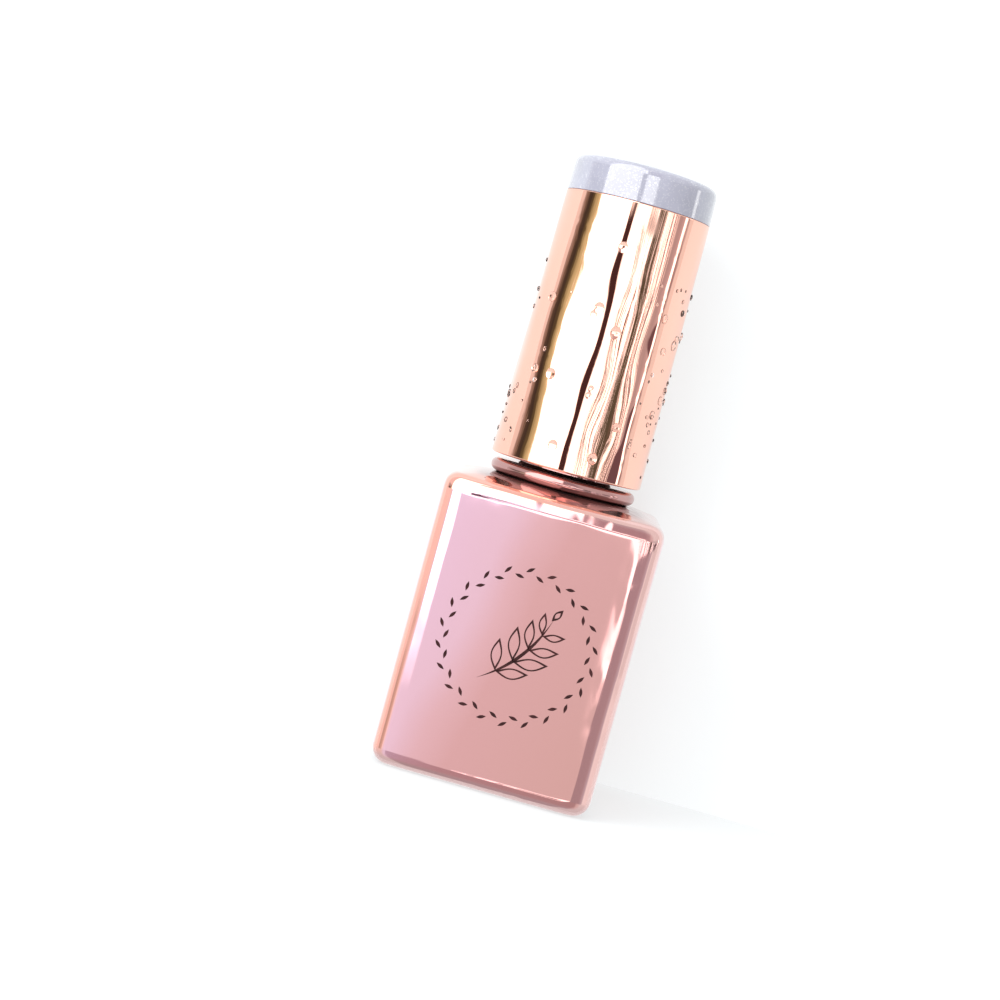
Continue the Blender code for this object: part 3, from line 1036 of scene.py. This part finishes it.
@dataclass
class FrontEmblem:
    """Printed ornament on the front face: a wreath of small leaves round a sprig in thin lines."""

    face_y: float
    centre_z: float
    wreath_radius: float = 9.1
    leaves: int = 44
    film: float = 0.03
    line: float = 0.17
    sprig_angle: float = 38.0
    sprig_length: float = 11.9
    sprig_foot: float = -6.2
    sprig_head: float = 11.5
    sprig_leaves: tuple[tuple[float, float], ...] = ((0.2, 4.1), (0.4, 4.4), (0.6, 3.8), (0.8, 2.9))

    def edge(self, length: float, width: float, inset: float, bow: float, y: float) -> Ring:
        """Outline of a pointed leaf standing on the origin along +Z.

        Args:
            length: Its length in millimetres.
            width: Its greatest width in millimetres.
            inset: How far the outline is drawn in.
            bow: How far the leaf's middle is bent towards +X.
            y: Depth of the outline.

        Returns:
            Its points.
        """
        points, tip = 40, min(inset * 3.0, length * 0.3)
        ring: Ring = []
        for i in range(points):
            angle = 2 * math.pi * (i + 0.5) / points
            share = (1 - math.cos(angle)) / 2
            half = max(0.02, width / 2 - inset) * math.sin(math.pi * share) ** 1.1
            z = tip + (length - 2 * tip) * share
            bend = bow * 4 * z / length * (1 - z / length)
            x = math.copysign(half, math.sin(angle)) + bend
            ring.append((x * MM, y * MM, z * MM))
        return ring

    def stroke(self, length: float, width: float, line: float = 0.0, bow: float = 0.0) -> Piece:
        """One pointed leaf or tapered stroke standing on the origin along +Z, facing -Y.

        Args:
            length: Its length in millimetres.
            width: Its greatest width in millimetres.
            line: Width of its outline, or 0 for a filled shape.
            bow: How far its middle is bent towards +X in millimetres.

        Returns:
            The shape, a thin closed film.
        """
        skin = RingSkin("stroke", self.edge(length, width, 0.0, bow, 0.0))
        skin.extrude(self.edge(length, width, 0.0, bow, -self.film))
        if line:
            skin.extrude(self.edge(length, width, line, bow, -self.film))
            skin.extrude(self.edge(length, width, line, bow, 0.0))
        return skin.finish(loop=line > 0)

    def stand(self, shape: Piece, across: float, up: float, lean: float) -> Piece:
        """Place a shape on the front face.

        Args:
            shape: The shape.
            across: Distance of its foot to the right of the emblem's centre in millimetres.
            up: Distance of its foot above the centre in millimetres.
            lean: Clockwise turn of the shape about its foot, in radians.

        Returns:
            The shape.
        """
        shape.location = (across * MM, self.face_y - 0.002 * MM, self.centre_z + up * MM)
        shape.rotation_euler = (0.0, lean, 0.0)
        apply_place(shape)
        return shape

    def wreath(self) -> list[Piece]:
        """Small leaves in a ring, leaning in and out by turns.

        Returns:
            The leaves.
        """
        parts: list[Piece] = []
        for i in range(self.leaves):
            around = 2 * math.pi * i / self.leaves
            radius = self.wreath_radius + (0.12 if i % 2 else -0.12)
            lean = around + math.radians(62 if i % 2 else 118)
            leaf = self.stroke(1.25, 0.4)
            parts.append(self.stand(leaf, math.sin(around) * radius, math.cos(around) * radius, lean))
        return parts

    def sprig(self) -> list[Piece]:
        """A bowed stem with outlined leaves in pairs and one at its head.

        Returns:
            The stem and the leaves.
        """
        tilt = math.radians(self.sprig_angle)
        along = Vector((math.sin(tilt), math.cos(tilt)))
        square = Vector((along.y, -along.x))
        foot = along * self.sprig_foot
        parts = [self.stand(self.stroke(self.sprig_length, 0.42, bow=1.15), foot.x, foot.y, tilt)]
        for share, length in self.sprig_leaves:
            root = foot + along * self.sprig_length * share + square * 4.6 * share * (1 - share)
            for side in (-1, 1):
                leaf = self.stroke(length, length * 0.34, line=self.line, bow=0.15 * side)
                parts.append(self.stand(leaf, root.x, root.y, tilt + math.radians(44 * side)))
        head = foot + along * self.sprig_head
        parts.append(self.stand(self.stroke(2.0, 0.85, line=self.line), head.x, head.y, tilt - 0.1))
        return parts

    def build(self, finish: PrintInk) -> None:
        """Model the ornament and dress it in its ink."""
        emblem = join(self.wreath() + self.sprig(), "front_emblem")
        dress(emblem, finish.build(), Body.BOTTLE)


@dataclass
class OuterSleeve:
    """Tapered mirror sleeve of the cap, open at the foot, with a seat for the crown. Sizes in millimetres."""

    foot_z: float
    seam_z: float
    foot_radius: float
    head_radius: float
    wall: float = 1.1
    edge: float = 0.22
    seat_depth: float = 2.5
    deck: float = 1.2
    points: int = 192

    def build(self, finish: MirrorMetallising) -> None:
        """Model and dress the sleeve.

        Args:
            finish: The metallising.
        """
        seat = self.seam_z - self.seat_depth
        inner = self.head_radius - self.wall
        profile = [(0.5, seat), (inner - 0.2, seat), (inner, seat + 0.2), (inner, self.seam_z - 0.1)]
        profile.append((inner + 0.1, self.seam_z))
        edge = self.edge * 0.5
        profile += arc_profile(self.head_radius - edge, self.seam_z - edge, edge, 90, 0, 4)
        side_top, side_foot = self.seam_z - edge, self.foot_z + self.edge
        for share in (0.001, *(i / 24 for i in range(1, 24)), 0.999):
            radius = self.head_radius + (self.foot_radius - self.head_radius) * share
            profile.append((radius, side_top + (side_foot - side_top) * share))
        profile += arc_profile(self.foot_radius - self.edge, self.foot_z + self.edge, self.edge, 0, -90, 5)
        bore = self.foot_radius - self.wall
        profile += [(bore + 0.15, self.foot_z), (bore, self.foot_z + 0.2)]
        profile += [(inner, seat - self.deck - 0.3), (inner - 0.3, seat - self.deck), (0.5, seat - self.deck)]
        sleeve = turned("cap_sleeve", profile, self.points)
        smooth(sleeve, 50.0)
        dress(sleeve, finish.build(), Body.CAP, ("outer_cap",))


@dataclass
class GlitterCrown:
    """Domed glitter button, flush in the top of the sleeve. Sizes in millimetres."""

    seam_z: float
    top_z: float
    foot_radius: float
    taper: float = 0.1
    edge: float = 1.1
    dome: float = 1.0
    plug_depth: float = 2.2
    plug_radius: float = 7.9
    seam_gap: float = 0.02
    foot_round: float = 0.05
    points: int = 160

    def build(self, finish: GlitterGel) -> None:
        """Model and dress the crown.

        Args:
            finish: The gel.
        """
        foot = self.seam_z + self.seam_gap
        plug = self.seam_z - self.plug_depth
        shoulder = self.top_z - self.dome
        head_radius = self.foot_radius - self.taper
        rim = head_radius - self.edge
        sweep = (rim**2 + self.dome**2) / (2 * self.dome)
        tilt = math.degrees(math.asin(rim / sweep))
        profile = [(0.5, plug), (self.plug_radius - 0.2, plug)]
        profile += [(self.plug_radius, plug + 0.2), (self.plug_radius, foot)]
        side_foot, side_top = foot + self.foot_round, shoulder - self.edge
        profile += arc_profile(self.foot_radius - self.foot_round, side_foot, self.foot_round, -90, 0, 3)
        for share in (0.01, 0.25, 0.5, 0.75, 0.99):
            radius = self.foot_radius + (head_radius - self.foot_radius) * share
            profile.append((radius, side_foot + (side_top - foot - self.foot_round) * share))
        profile += arc_profile(rim, side_top, self.edge, 0, 90 - tilt, 10)
        profile += arc_profile(0.0, self.top_z - sweep, sweep, 90 - tilt, 89.4, 16)[1:]
        crown = turned("crown_button", profile, self.points)
        smooth(crown, 50.0)
        dress(crown, finish.build(), Body.CAP, ("colour_crown",))


@dataclass
class WaterBeads:
    """Condensation on the sleeve: small domes of water, flat against the metal. Sizes in millimetres."""

    foot_z: float
    seam_z: float
    foot_radius: float
    head_radius: float
    seed: int = 7
    strewn: int = 72
    flattening: float = 0.72
    flat_at: float = 0.18
    stand_out: float = 0.12
    large: tuple[tuple[float, float, float], ...] = (
        (-3.0, 0.83, 0.62), (-8.0, 0.60, 0.66), (-11.0, 0.575, 0.42), (8.5, 0.53, 0.72),
        (2.0, 0.315, 0.4), (1.5, 0.29, 0.42), (-31.0, 0.33, 0.6), (-47.0, 0.335, 0.5),
        (-50.0, 0.60, 0.55), (16.5, 0.075, 0.62), (28.0, 0.205, 0.5), (-14.0, 0.085, 0.6),
    )

    def bead(self, around: float, share: float, size: float, stretch: float) -> Piece:
        """One drop on the sleeve's side.

        Args:
            around: Angle from the front, towards +X, in degrees.
            share: Height as a share of the sleeve's, from its foot.
            size: Radius in millimetres.
            stretch: Length over width.

        Returns:
            The drop.
        """
        deselect_all()
        bpy.ops.mesh.primitive_uv_sphere_add(segments=14, ring_count=8, radius=size * MM)
        drop = bpy.context.object
        bpy.ops.object.mode_set(mode="EDIT")
        bpy.ops.mesh.select_all(action="SELECT")
        bpy.ops.transform.resize(value=(1.0, self.flattening, stretch))
        seat = (0.0, size * self.flat_at * MM, 0.0)
        bpy.ops.mesh.bisect(plane_co=seat, plane_no=(0.0, 1.0, 0.0), use_fill=True, clear_outer=True)
        bpy.ops.mesh.select_all(action="SELECT")
        bpy.ops.mesh.normals_make_consistent(inside=False)
        bpy.ops.object.mode_set(mode="OBJECT")
        angle = math.radians(around)
        radius = self.foot_radius + (self.head_radius - self.foot_radius) * share + self.stand_out * size
        z = self.foot_z + (self.seam_z - self.foot_z) * share
        drop.location = (math.sin(angle) * radius * MM, -math.cos(angle) * radius * MM, z * MM)
        drop.rotation_euler = (0.0, 0.0, angle)
        apply_place(drop)
        return drop

    def build(self, finish: ClearWater) -> None:
        """Strew and dress the drops.

        Args:
            finish: The water.
        """
        chance = random.Random(self.seed)
        drops = [self.bead(around, share, size, 1.15) for around, share, size in self.large]
        for _ in range(self.strewn):
            side = chance.choice((-1, 1, 1))
            around = side * (30.0 + 62.0 * chance.random() ** 0.7)
            share = 0.03 + 0.75 * chance.random() ** 1.2
            size = 0.12 + 0.26 * chance.random() ** 2
            drops.append(self.bead(around, share, size, 1.0 + 0.9 * chance.random()))
        beads = join(drops, "water_beads")
        smooth(beads, 60.0)
        dress(beads, finish.build(), Body.CAP)


@dataclass
class Brush:
    """Stem and loose bristles of the applicator. Sizes in millimetres."""

    stem_low: Vector
    stem_high: Vector
    tuft_low: Vector
    tuft_high: Vector
    stem_radius: float = 1.6
    hole_radius: float = 1.2
    hole_depth: float = 3.7
    bristles: int = 260
    strand_radius: float = 0.075
    strand_steps: int = 8
    root_depth: float = 2.6
    tip_rise: float = 2.2
    seed: int = 11

    def build_stem(self, finish: Moulded) -> None:
        """Model and dress the stem.

        Args:
            finish: Its plastic.
        """
        low, high = self.stem_low.z / MM, self.stem_high.z / MM
        tip, hole_top = self.stem_radius - 0.1, low + self.hole_depth
        profile = [(0.2, hole_top), (self.hole_radius, hole_top), (self.hole_radius, low + 0.1)]
        profile += [(self.hole_radius + 0.08, low), (tip - 0.1, low), (tip, low + 0.12)]
        profile += [(tip + 0.1 * i / 6, low + 0.12 + (high - low - 0.6) * i / 6) for i in range(1, 7)]
        profile += [(self.stem_radius - 0.12, high - 0.2), (self.stem_radius - 0.35, high), (0.2, high)]
        stem = turned("stem_rod", profile, 48)
        smooth(stem, 40.0)
        dress(stem, finish.build(), Body.CAP, ("brush_stem",))

    def centreline(self, angle: float, reach: float, depth: float) -> Vector:
        """Centre of a bristle at a depth below the tuft's root.

        Args:
            angle: Its place round the root.
            reach: Its distance from the axis, as a share of the root's radius.
            depth: 0 at the root and 1 at the tip.

        Returns:
            The point.
        """
        root = self.hole_radius - 0.35
        belly = math.sin(math.pi * min(1.0, depth * 0.62)) if depth > 0 else 0.0
        half_x = root + (self.tuft_high.x / MM - 0.05 - root) * belly
        half_y = root + (self.tuft_high.y / MM - 0.05 - root) * belly
        close = 1.0 - 0.3 * max(0.0, depth - 0.82) / 0.18
        x = math.cos(angle) * reach * half_x * close
        y = math.sin(angle) * reach * half_y * close
        root_z = self.stem_low.z + self.root_depth * MM
        tip_z = self.tuft_low.z + (0.9 * reach**2 * abs(math.cos(angle))) * self.tip_rise * MM
        return Vector((x * MM, y * MM, root_z + (tip_z - root_z) * depth))

    def strand(self) -> Piece:
        """One straight strand about the origin, a millimetre long and cut across into steps.

        Returns:
            The strand.
        """
        deselect_all()
        bpy.ops.mesh.primitive_cylinder_add(
            vertices=5, radius=self.strand_radius * MM, depth=MM, end_fill_type="TRIFAN"
        )
        strand = bpy.context.object
        bpy.ops.object.mode_set(mode="EDIT")
        for i in range(1, self.strand_steps):
            bpy.ops.mesh.select_all(action="SELECT")
            cut = (0.0, 0.0, (i / self.strand_steps - 0.5) * MM)
            bpy.ops.mesh.bisect(plane_co=cut, plane_no=(0.0, 0.0, 1.0))
        bpy.ops.object.mode_set(mode="OBJECT")
        return strand

    def build_tuft(self, finish: Moulded) -> None:
        """Model and dress the bristles, each a thin strand with its own bend.

        Args:
            finish: Their nylon.
        """
        chance = random.Random(self.seed)
        strand = self.strand()
        strands: list[Piece] = []
        for i in range(self.bristles):
            reach = math.sqrt((i + 0.5) / self.bristles)
            angle = i * math.pi * (3.0 - math.sqrt(5.0)) + chance.uniform(-0.1, 0.1)
            sway = Vector((chance.uniform(-1, 1), chance.uniform(-1, 1), 0.0)) * 0.07 * MM
            copy = strand.copy()
            copy.data = strand.data.copy()
            bpy.context.scene.collection.objects.link(copy)
            for vert in copy.data.vertices:
                depth = 0.5 - vert.co.z / MM
                thin = 1.0 - 0.55 * max(0.0, depth - 0.7) / 0.3
                centre = self.centreline(angle, reach, depth) + sway * depth
                vert.co = centre + Vector((vert.co.x * thin, vert.co.y * thin, 0.0))
            strands.append(copy)
        bpy.data.objects.remove(strand)
        tuft = join(strands, "bristles")
        smooth(tuft, 60.0)
        dress(tuft, finish.build(), Body.CAP, ("bristle_tuft",))


@dataclass
class CadFinishes:
    """Finishes for the CAD nodes whose shape stays."""

    nodes: dict[str, Piece]

    def apply(self) -> None:
        """Give each kept node its material."""
        kept = {
            "inner_cap": Moulded("inner_cap_plastic", (0.82, 0.81, 0.79), 0.38),
            "seal_washer": Moulded("seal_foam", (0.86, 0.85, 0.82), 0.8, 1500.0),
            "base_label": Moulded("label_film", (0.86, 0.85, 0.84), 0.5, 900.0),
            "mixing_ball_1": BrightSteel("ball_steel"),
            "mixing_ball_2": BrightSteel("ball_steel_two"),
            "bristle_staple": BrightSteel("staple_steel", (1.0, 1.0, 0.1)),
        }
        for name, finish in kept.items():
            mesh = self.nodes[name].data
            mesh.materials.clear()
            mesh.materials.append(finish.build())
            LOG.info("%s: kept, with %s", name, type(finish).__name__)


# ---------------------------------------------------------------- studio


@dataclass
class Studio:
    """Pale sweep, strip-lit surroundings, key light and camera."""

    back_y: float
    camera_place: Point = (0.43, -264.4, 51.92)
    camera_turn: Point = (-3.82, -15.4, 1.62)
    focal_share: float = 2.081
    sensor: float = 36.0
    brightest: float = 3.0
    sleeve_strips: Strips = (
        (-94, (0.95, 0.93, 0.92)), (-91, (0.40, 0.33, 0.30)), (-87, (0.27, 0.22, 0.18)),
        (-85, (0.10, 0.08, 0.06)), (-80, (0.06, 0.05, 0.04)), (-73, (0.14, 0.13, 0.065)),
        (-71, (0.42, 0.42, 0.22)), (-62, (0.78, 0.80, 0.45)), (-60, 3.0), (-11.5, 3.0),
        (-10, (0.07, 0.035, 0.035)), (-2.5, (0.07, 0.035, 0.035)), (-1, 3.0), (13, 3.0),
        (15, (0.35, 0.35, 0.32)), (17, (0.95, 1.1, 1.2)), (20, 3.0), (30, 3.0), (32, (1.0, 1.1, 1.2)),
        (35, (0.09, 0.10, 0.065)), (47, (0.09, 0.10, 0.065)), (49, 3.0), (53, (0.45, 0.48, 0.48)),
        (58, (0.60, 0.56, 0.6)), (74, (0.50, 0.45, 0.48)), (82, (0.65, 0.58, 0.62)), (83.5, 3.0),
        (86.5, 3.0), (88, (0.3, 0.24, 0.24)), (91, (0.5, 0.44, 0.46)), (93, 0.95), (180, 0.95),
    )
    crown_strips: Strips = (
        (-180, 0.95), (-100, 0.95), (-90, 0.45), (-63.5, 0.45), (-62, (3.0, 3.0, 2.9)), (-7, (3.0, 3.0, 2.9)),
        (-5.5, 0.45), (0.5, 0.45), (2, (3.0, 3.0, 2.9)), (20, (3.0, 3.0, 2.9)), (21.5, 0.7), (91, 0.7),
        (92, (3.0, 3.0, 2.9)), (98, (3.0, 3.0, 2.9)), (99, 0.7), (180, 0.95),
    )
    low_strips: Strips = (
        (-180, 1.0), (-60, 1.0), (-50, 0.85), (-48, 3.0), (-20, 3.0), (-18.5, 1.0), (7, 1.0), (8, 3.0),
        (18, 3.0), (18.6, (0.55, 0.52, 0.58)), (62, (0.62, 0.58, 0.64)), (68, 1.2), (72, 0.9), (180, 1.0),
    )
    dim_strips: Strips = (
        (-180, 1.0), (-85, 0.95), (-80, (0.5, 0.46, 0.42)), (-62, (0.7, 0.68, 0.6)), (-56, 1.05),
        (-10, 1.0), (14, 1.0), (17, (0.55, 0.52, 0.58)), (62, (0.62, 0.58, 0.64)), (68, 1.1), (180, 1.0),
    )
    # Shares of the turn about the vertical, with the front at 0.5 and +X above it.
    streaky: Band = (0.522, 0.54, 0.67, 0.7)
    broad_streak: Band = (0.592, 0.6, 0.628, 0.634)
    middle: Band = (0.42, 0.44, 0.51, 0.53)
    dark_line: Band = (0.464, 0.466, 0.4975, 0.4995)
    low_shadow: Band = (0.676, 0.682, 0.73, 0.735)
    roof_light: Band = (0.455, 0.47, 0.4985, 0.5035)
    roof_shade: Band = (0.499, 0.504, 0.55, 0.6)
    roof_panel: Band = (0.3236, 0.3278, 0.461, 0.466)
    table_front: Band = (0.40, 0.43, 0.57, 0.60)
    # Sines of the sight line's height, between which one part of the surroundings gives way to another.
    table_top: Edge = (-0.26, -0.34)
    low_over_dim: Edge = (-0.165, -0.11)
    sleeve_over_low: Edge = (-0.057, -0.05)
    line_below: Edge = (-0.03, -0.045)
    line_above: Edge = (0.12, 0.13)
    crown_over_sleeve: Edge = (0.118, 0.124)
    roof_over_crown: Edge = (0.17, 0.24)
    dome_over_roof: Edge = (0.84, 0.9)
    panel_top: Edge = (0.99, 0.95)
    # Height above the slanting top of the low shadow, and levels of the noise that makes the streaks.
    shadow_top: Edge = (0.012, 0.006)
    bright_streak: Edge = (0.54, 0.555)
    dark_streak: Edge = (0.46, 0.445)
    floor_glow: float = 0.625
    sheet_glow: float = 0.66

    def table(self, nodes: Nodes, share: object, strips: Strips) -> Socket:
        """Light round the horizon, as a ramp.

        Args:
            nodes: The world's node helper.
            share: Turn about the vertical, 0 to 1, with the front at 0.5.
            strips: Degrees from the front towards +X and the light there.

        Returns:
            The light, as a share of the strongest.
        """
        stops: list[tuple[float, Colour]] = []
        for degree, light in strips:
            colour = light if isinstance(light, tuple) else (light, light, light)
            stops.append((degree / 360 + 0.5, tone(colour, 1 / self.brightest)))
        return nodes.ramp(share, stops)

    def sleeve_light(self, nodes: Nodes, way: Socket, share: Socket, height: Socket) -> Socket:
        """Upright strips that the sleeve shows, with wavering edges and fine broken streaks.

        Args:
            nodes: The world's node helper.
            way: Direction of the sight line.
            share: Its turn about the vertical.
            height: Its height.

        Returns:
            The light, as a share of the strongest.
        """
        streaky = nodes.band(share, self.streaky)
        jitter = nodes.noise(nodes.stretched(way, (1.0, 1.0, 0.3)), 42.0, 2.0)
        sway = nodes.times(nodes.math("ADD", jitter, -0.5), nodes.scaled(streaky, 0.01, 0.008))
        shreds = nodes.noise(nodes.stretched(way, (0.16, 0.16, 1.0)), 120.0, 3.0)
        fray = nodes.math("ADD", shreds, -0.5)
        fray = nodes.times(fray, nodes.scaled(nodes.band(share, self.middle), -0.02, 0.024))
        place = nodes.math("ADD", share, nodes.math("ADD", sway, fray))
        strips = self.table(nodes, place, self.sleeve_strips)
        streak = nodes.noise(nodes.stretched(way, (1.0, 1.0, 0.14)), 88.0, 3.0)
        busy = nodes.times(streaky, nodes.scaled(nodes.band(share, self.broad_streak), -0.6, 1.0))
        gleam = nodes.times(nodes.step(streak, self.bright_streak), busy)
        gloom = nodes.times(nodes.step(streak, self.dark_streak), busy)
        strips = nodes.mix(gloom, nodes.mix(gleam, strips, WHITE), (0.08, 0.06, 0.05))
        low_end, high_end = nodes.step(height, self.line_below), nodes.step(height, self.line_above)
        outside = nodes.math("MAXIMUM", low_end, high_end)
        strips = nodes.mix(nodes.times(nodes.band(share, self.dark_line), outside), strips, WHITE)
        above = nodes.math("SUBTRACT", height, nodes.scaled(share, 0.55, -0.385))
        shadow = nodes.times(nodes.band(share, self.low_shadow), nodes.step(above, self.shadow_top))
        return nodes.mix(shadow, strips, (0.055, 0.036, 0.044))

    def roof_light_and_shade(self, nodes: Nodes, share: Socket, height: Socket) -> Socket:
        """Pale roof with a light box, a shaded part and a tall side panel.

        Args:
            nodes: The world's node helper.
            share: Turn of the sight line about the vertical.
            height: Its height.

        Returns:
            The light, as a share of the strongest.
        """
        dome = self.dome_light()
        shade = nodes.mix(nodes.band(share, self.roof_shade), dome, (0.19, 0.165, 0.18))
        roof = nodes.mix(nodes.band(share, self.roof_light), shade, WHITE)
        roof = nodes.mix(nodes.step(height, self.dome_over_roof), roof, dome)
        panel = nodes.times(nodes.band(share, self.roof_panel), nodes.step(height, self.panel_top))
        return nodes.mix(panel, roof, WHITE)

    def dome_light(self) -> Colour:
        """Soft white overhead, as a share of the strongest light."""
        return tone(WHITE, 0.95 / self.brightest)

    def surroundings(self) -> None:
        """World of soft white with upright light and dark strips, which the mirror surfaces show."""
        world = bpy.data.worlds.new("studio")
        bpy.context.scene.world = world
        world.use_nodes = True
        nodes = Nodes(world.node_tree)
        way = nodes.add("TexCoord").outputs["Generated"]
        parts = nodes.add("SeparateXYZ", Vector=way)
        height = parts.outputs["Z"]
        turn = nodes.math("ARCTAN2", parts.outputs["X"], nodes.times(parts.outputs["Y"], -1.0))
        share = nodes.scaled(turn, 1 / (2 * math.pi), 0.5)
        sleeve = self.sleeve_light(nodes, way, share, height)
        crown = self.table(nodes, share, self.crown_strips)
        high = nodes.mix(nodes.step(height, self.crown_over_sleeve), sleeve, crown)
        low, dim = self.table(nodes, share, self.low_strips), self.table(nodes, share, self.dim_strips)
        low = nodes.mix(nodes.step(height, self.low_over_dim), dim, low)
        sides = nodes.mix(nodes.step(height, self.sleeve_over_low), low, high)
        roof = self.roof_light_and_shade(nodes, share, height)
        lit = nodes.mix(nodes.step(height, self.roof_over_crown), sides, roof)
        below = nodes.mix(nodes.band(share, self.table_front), self.dome_light(), (0.2, 0.17, 0.18))
        light = nodes.mix(nodes.step(height, self.table_top), lit, below)
        back = world.node_tree.nodes["Background"]
        nodes.feed(back, Color=light, Strength=self.brightest)
        plain = nodes.add("Background", Color=WHITE, Strength=1.0)
        switch = nodes.add("MixShader")
        nodes.put(nodes.add("LightPath").outputs["Is Camera Ray"], switch.inputs[0])
        nodes.put(back.outputs[0], switch.inputs[1])
        nodes.put(plain.outputs[0], switch.inputs[2])
        nodes.put(switch.outputs[0], world.node_tree.nodes["World Output"].inputs["Surface"])

    def sweep_material(self, name: str, strength: float) -> Material:
        """Bright white paper that takes only faint shadows and is clear from behind.

        Args:
            name: Name of the material.
            strength: Light that the paper gives by itself.

        Returns:
            The material.
        """
        material = bpy.data.materials.new(name)
        material.use_nodes = True
        tree = material.node_tree
        tree.nodes.clear()
        nodes = Nodes(tree)
        paper = nodes.add("BsdfDiffuse", Color=(0.275, 0.3, 0.307))
        glow = nodes.add("Emission", Color=WHITE, Strength=strength)
        both = nodes.add("AddShader")
        nodes.put(paper.outputs[0], both.inputs[0])
        nodes.put(glow.outputs[0], both.inputs[1])
        side = nodes.add("NewGeometry")
        clear = nodes.add("BsdfTransparent")
        one_sided = nodes.add("MixShader")
        nodes.put(side.outputs["Backfacing"], one_sided.inputs[0])
        nodes.put(both.outputs[0], one_sided.inputs[1])
        nodes.put(clear.outputs[0], one_sided.inputs[2])
        nodes.put(one_sided.outputs[0], nodes.add("OutputMaterial").inputs["Surface"])
        return material

    def sweep(self) -> None:
        """Floor under the base and an upright sheet close behind the back face."""
        deselect_all()
        bpy.ops.mesh.primitive_plane_add(size=1.6, location=(0.0, 0.0, -0.00005))
        floor = bpy.context.object
        floor.name = "floor"
        floor.visible_glossy = False
        deselect_all()
        bpy.ops.mesh.primitive_plane_add(size=1.6, location=(0.0, self.back_y + 0.0003, 0.0))
        sheet = bpy.context.object
        sheet.name = "back_sheet"
        sheet.rotation_euler = (math.radians(90), 0.0, 0.0)
        sheet.scale = (0.15, 1.0, 1.0)
        for obj, strength in ((floor, self.floor_glow), (sheet, self.sheet_glow)):
            obj.data.materials.append(self.sweep_material("white_" + obj.name, strength))

    def key_light(self) -> None:
        """Large soft light from the upper left of the front."""
        deselect_all()
        bpy.ops.object.light_add(type="AREA", location=(-0.45, -0.5, 0.42))
        lamp = bpy.context.object
        lamp.name = "key_light"
        lamp.data.size = 0.3
        lamp.data.energy = 3.0
        lamp.visible_glossy = False
        aim = Vector((0.0, 0.0, 0.04)) - lamp.location
        lamp.rotation_euler = aim.to_track_quat("-Z", "Y").to_euler()

    def camera(self) -> None:
        """Camera a hand's length in front, turned so that the bottle leans to the right."""
        deselect_all()
        bpy.ops.object.camera_add(location=[c * MM for c in self.camera_place])
        camera = bpy.context.object
        pitch, roll, yaw = (math.radians(a) for a in self.camera_turn)
        turn = Matrix.Rotation(yaw, 3, "Z") @ Matrix.Rotation(pitch, 3, "X") @ Matrix.Rotation(roll, 3, "Y")
        camera.rotation_euler = (turn @ Matrix.Rotation(math.radians(90), 3, "X")).to_euler()
        camera.data.sensor_width = self.sensor
        camera.data.lens = self.sensor * self.focal_share
        camera.data.clip_start = 0.005
        bpy.context.scene.camera = camera

    def build(self) -> None:
        """Set up the whole studio."""
        self.surroundings()
        self.sweep()
        self.key_light()
        self.camera()
        bpy.context.scene.view_settings.view_transform = "Standard"
        LOG.info("studio: sweep, key light and camera")


def millimetres(value: float) -> float:
    """A length of the frame, in metres, as millimetres."""
    return value / MM


def main(packed: dict) -> None:
    """Build every sub-assembly around the frame.
    """
    logging.basicConfig(level=logging.INFO, format="%(name)s: %(message)s")
    glass_low, glass_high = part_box("glass_bottle")
    sleeve_low, sleeve_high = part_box("outer_cap")
    crown_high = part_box("colour_crown")[1]
    foot_z, seam_z = millimetres(sleeve_low.z), millimetres(sleeve_high.z)
    foot_radius, head_radius = millimetres(sleeve_high.x), millimetres(crown_high.x)

    bottle = GlassBottle(glass_low, glass_high)
    bottle.build(PearlGlass())
    FrontEmblem(glass_low.y, bottle.body_height / 2 * MM).build(PrintInk())
    OuterSleeve(foot_z, seam_z, foot_radius, head_radius).build(MirrorMetallising())
    GlitterCrown(seam_z, millimetres(crown_high.z), head_radius).build(GlitterGel())
    WaterBeads(foot_z, seam_z, foot_radius, head_radius).build(ClearWater())
    brush = Brush(*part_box("brush_stem"), *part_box("bristle_tuft"))
    brush.build_stem(Moulded("stem_plastic", (0.03, 0.03, 0.032), 0.3))
    brush.build_tuft(Moulded("bristle_nylon", (0.09, 0.055, 0.045), 0.4))
    CadFinishes(packed["nodes"]).apply()
    Studio(glass_high.y).build()


if __name__ == "__main__":
    main(frame)
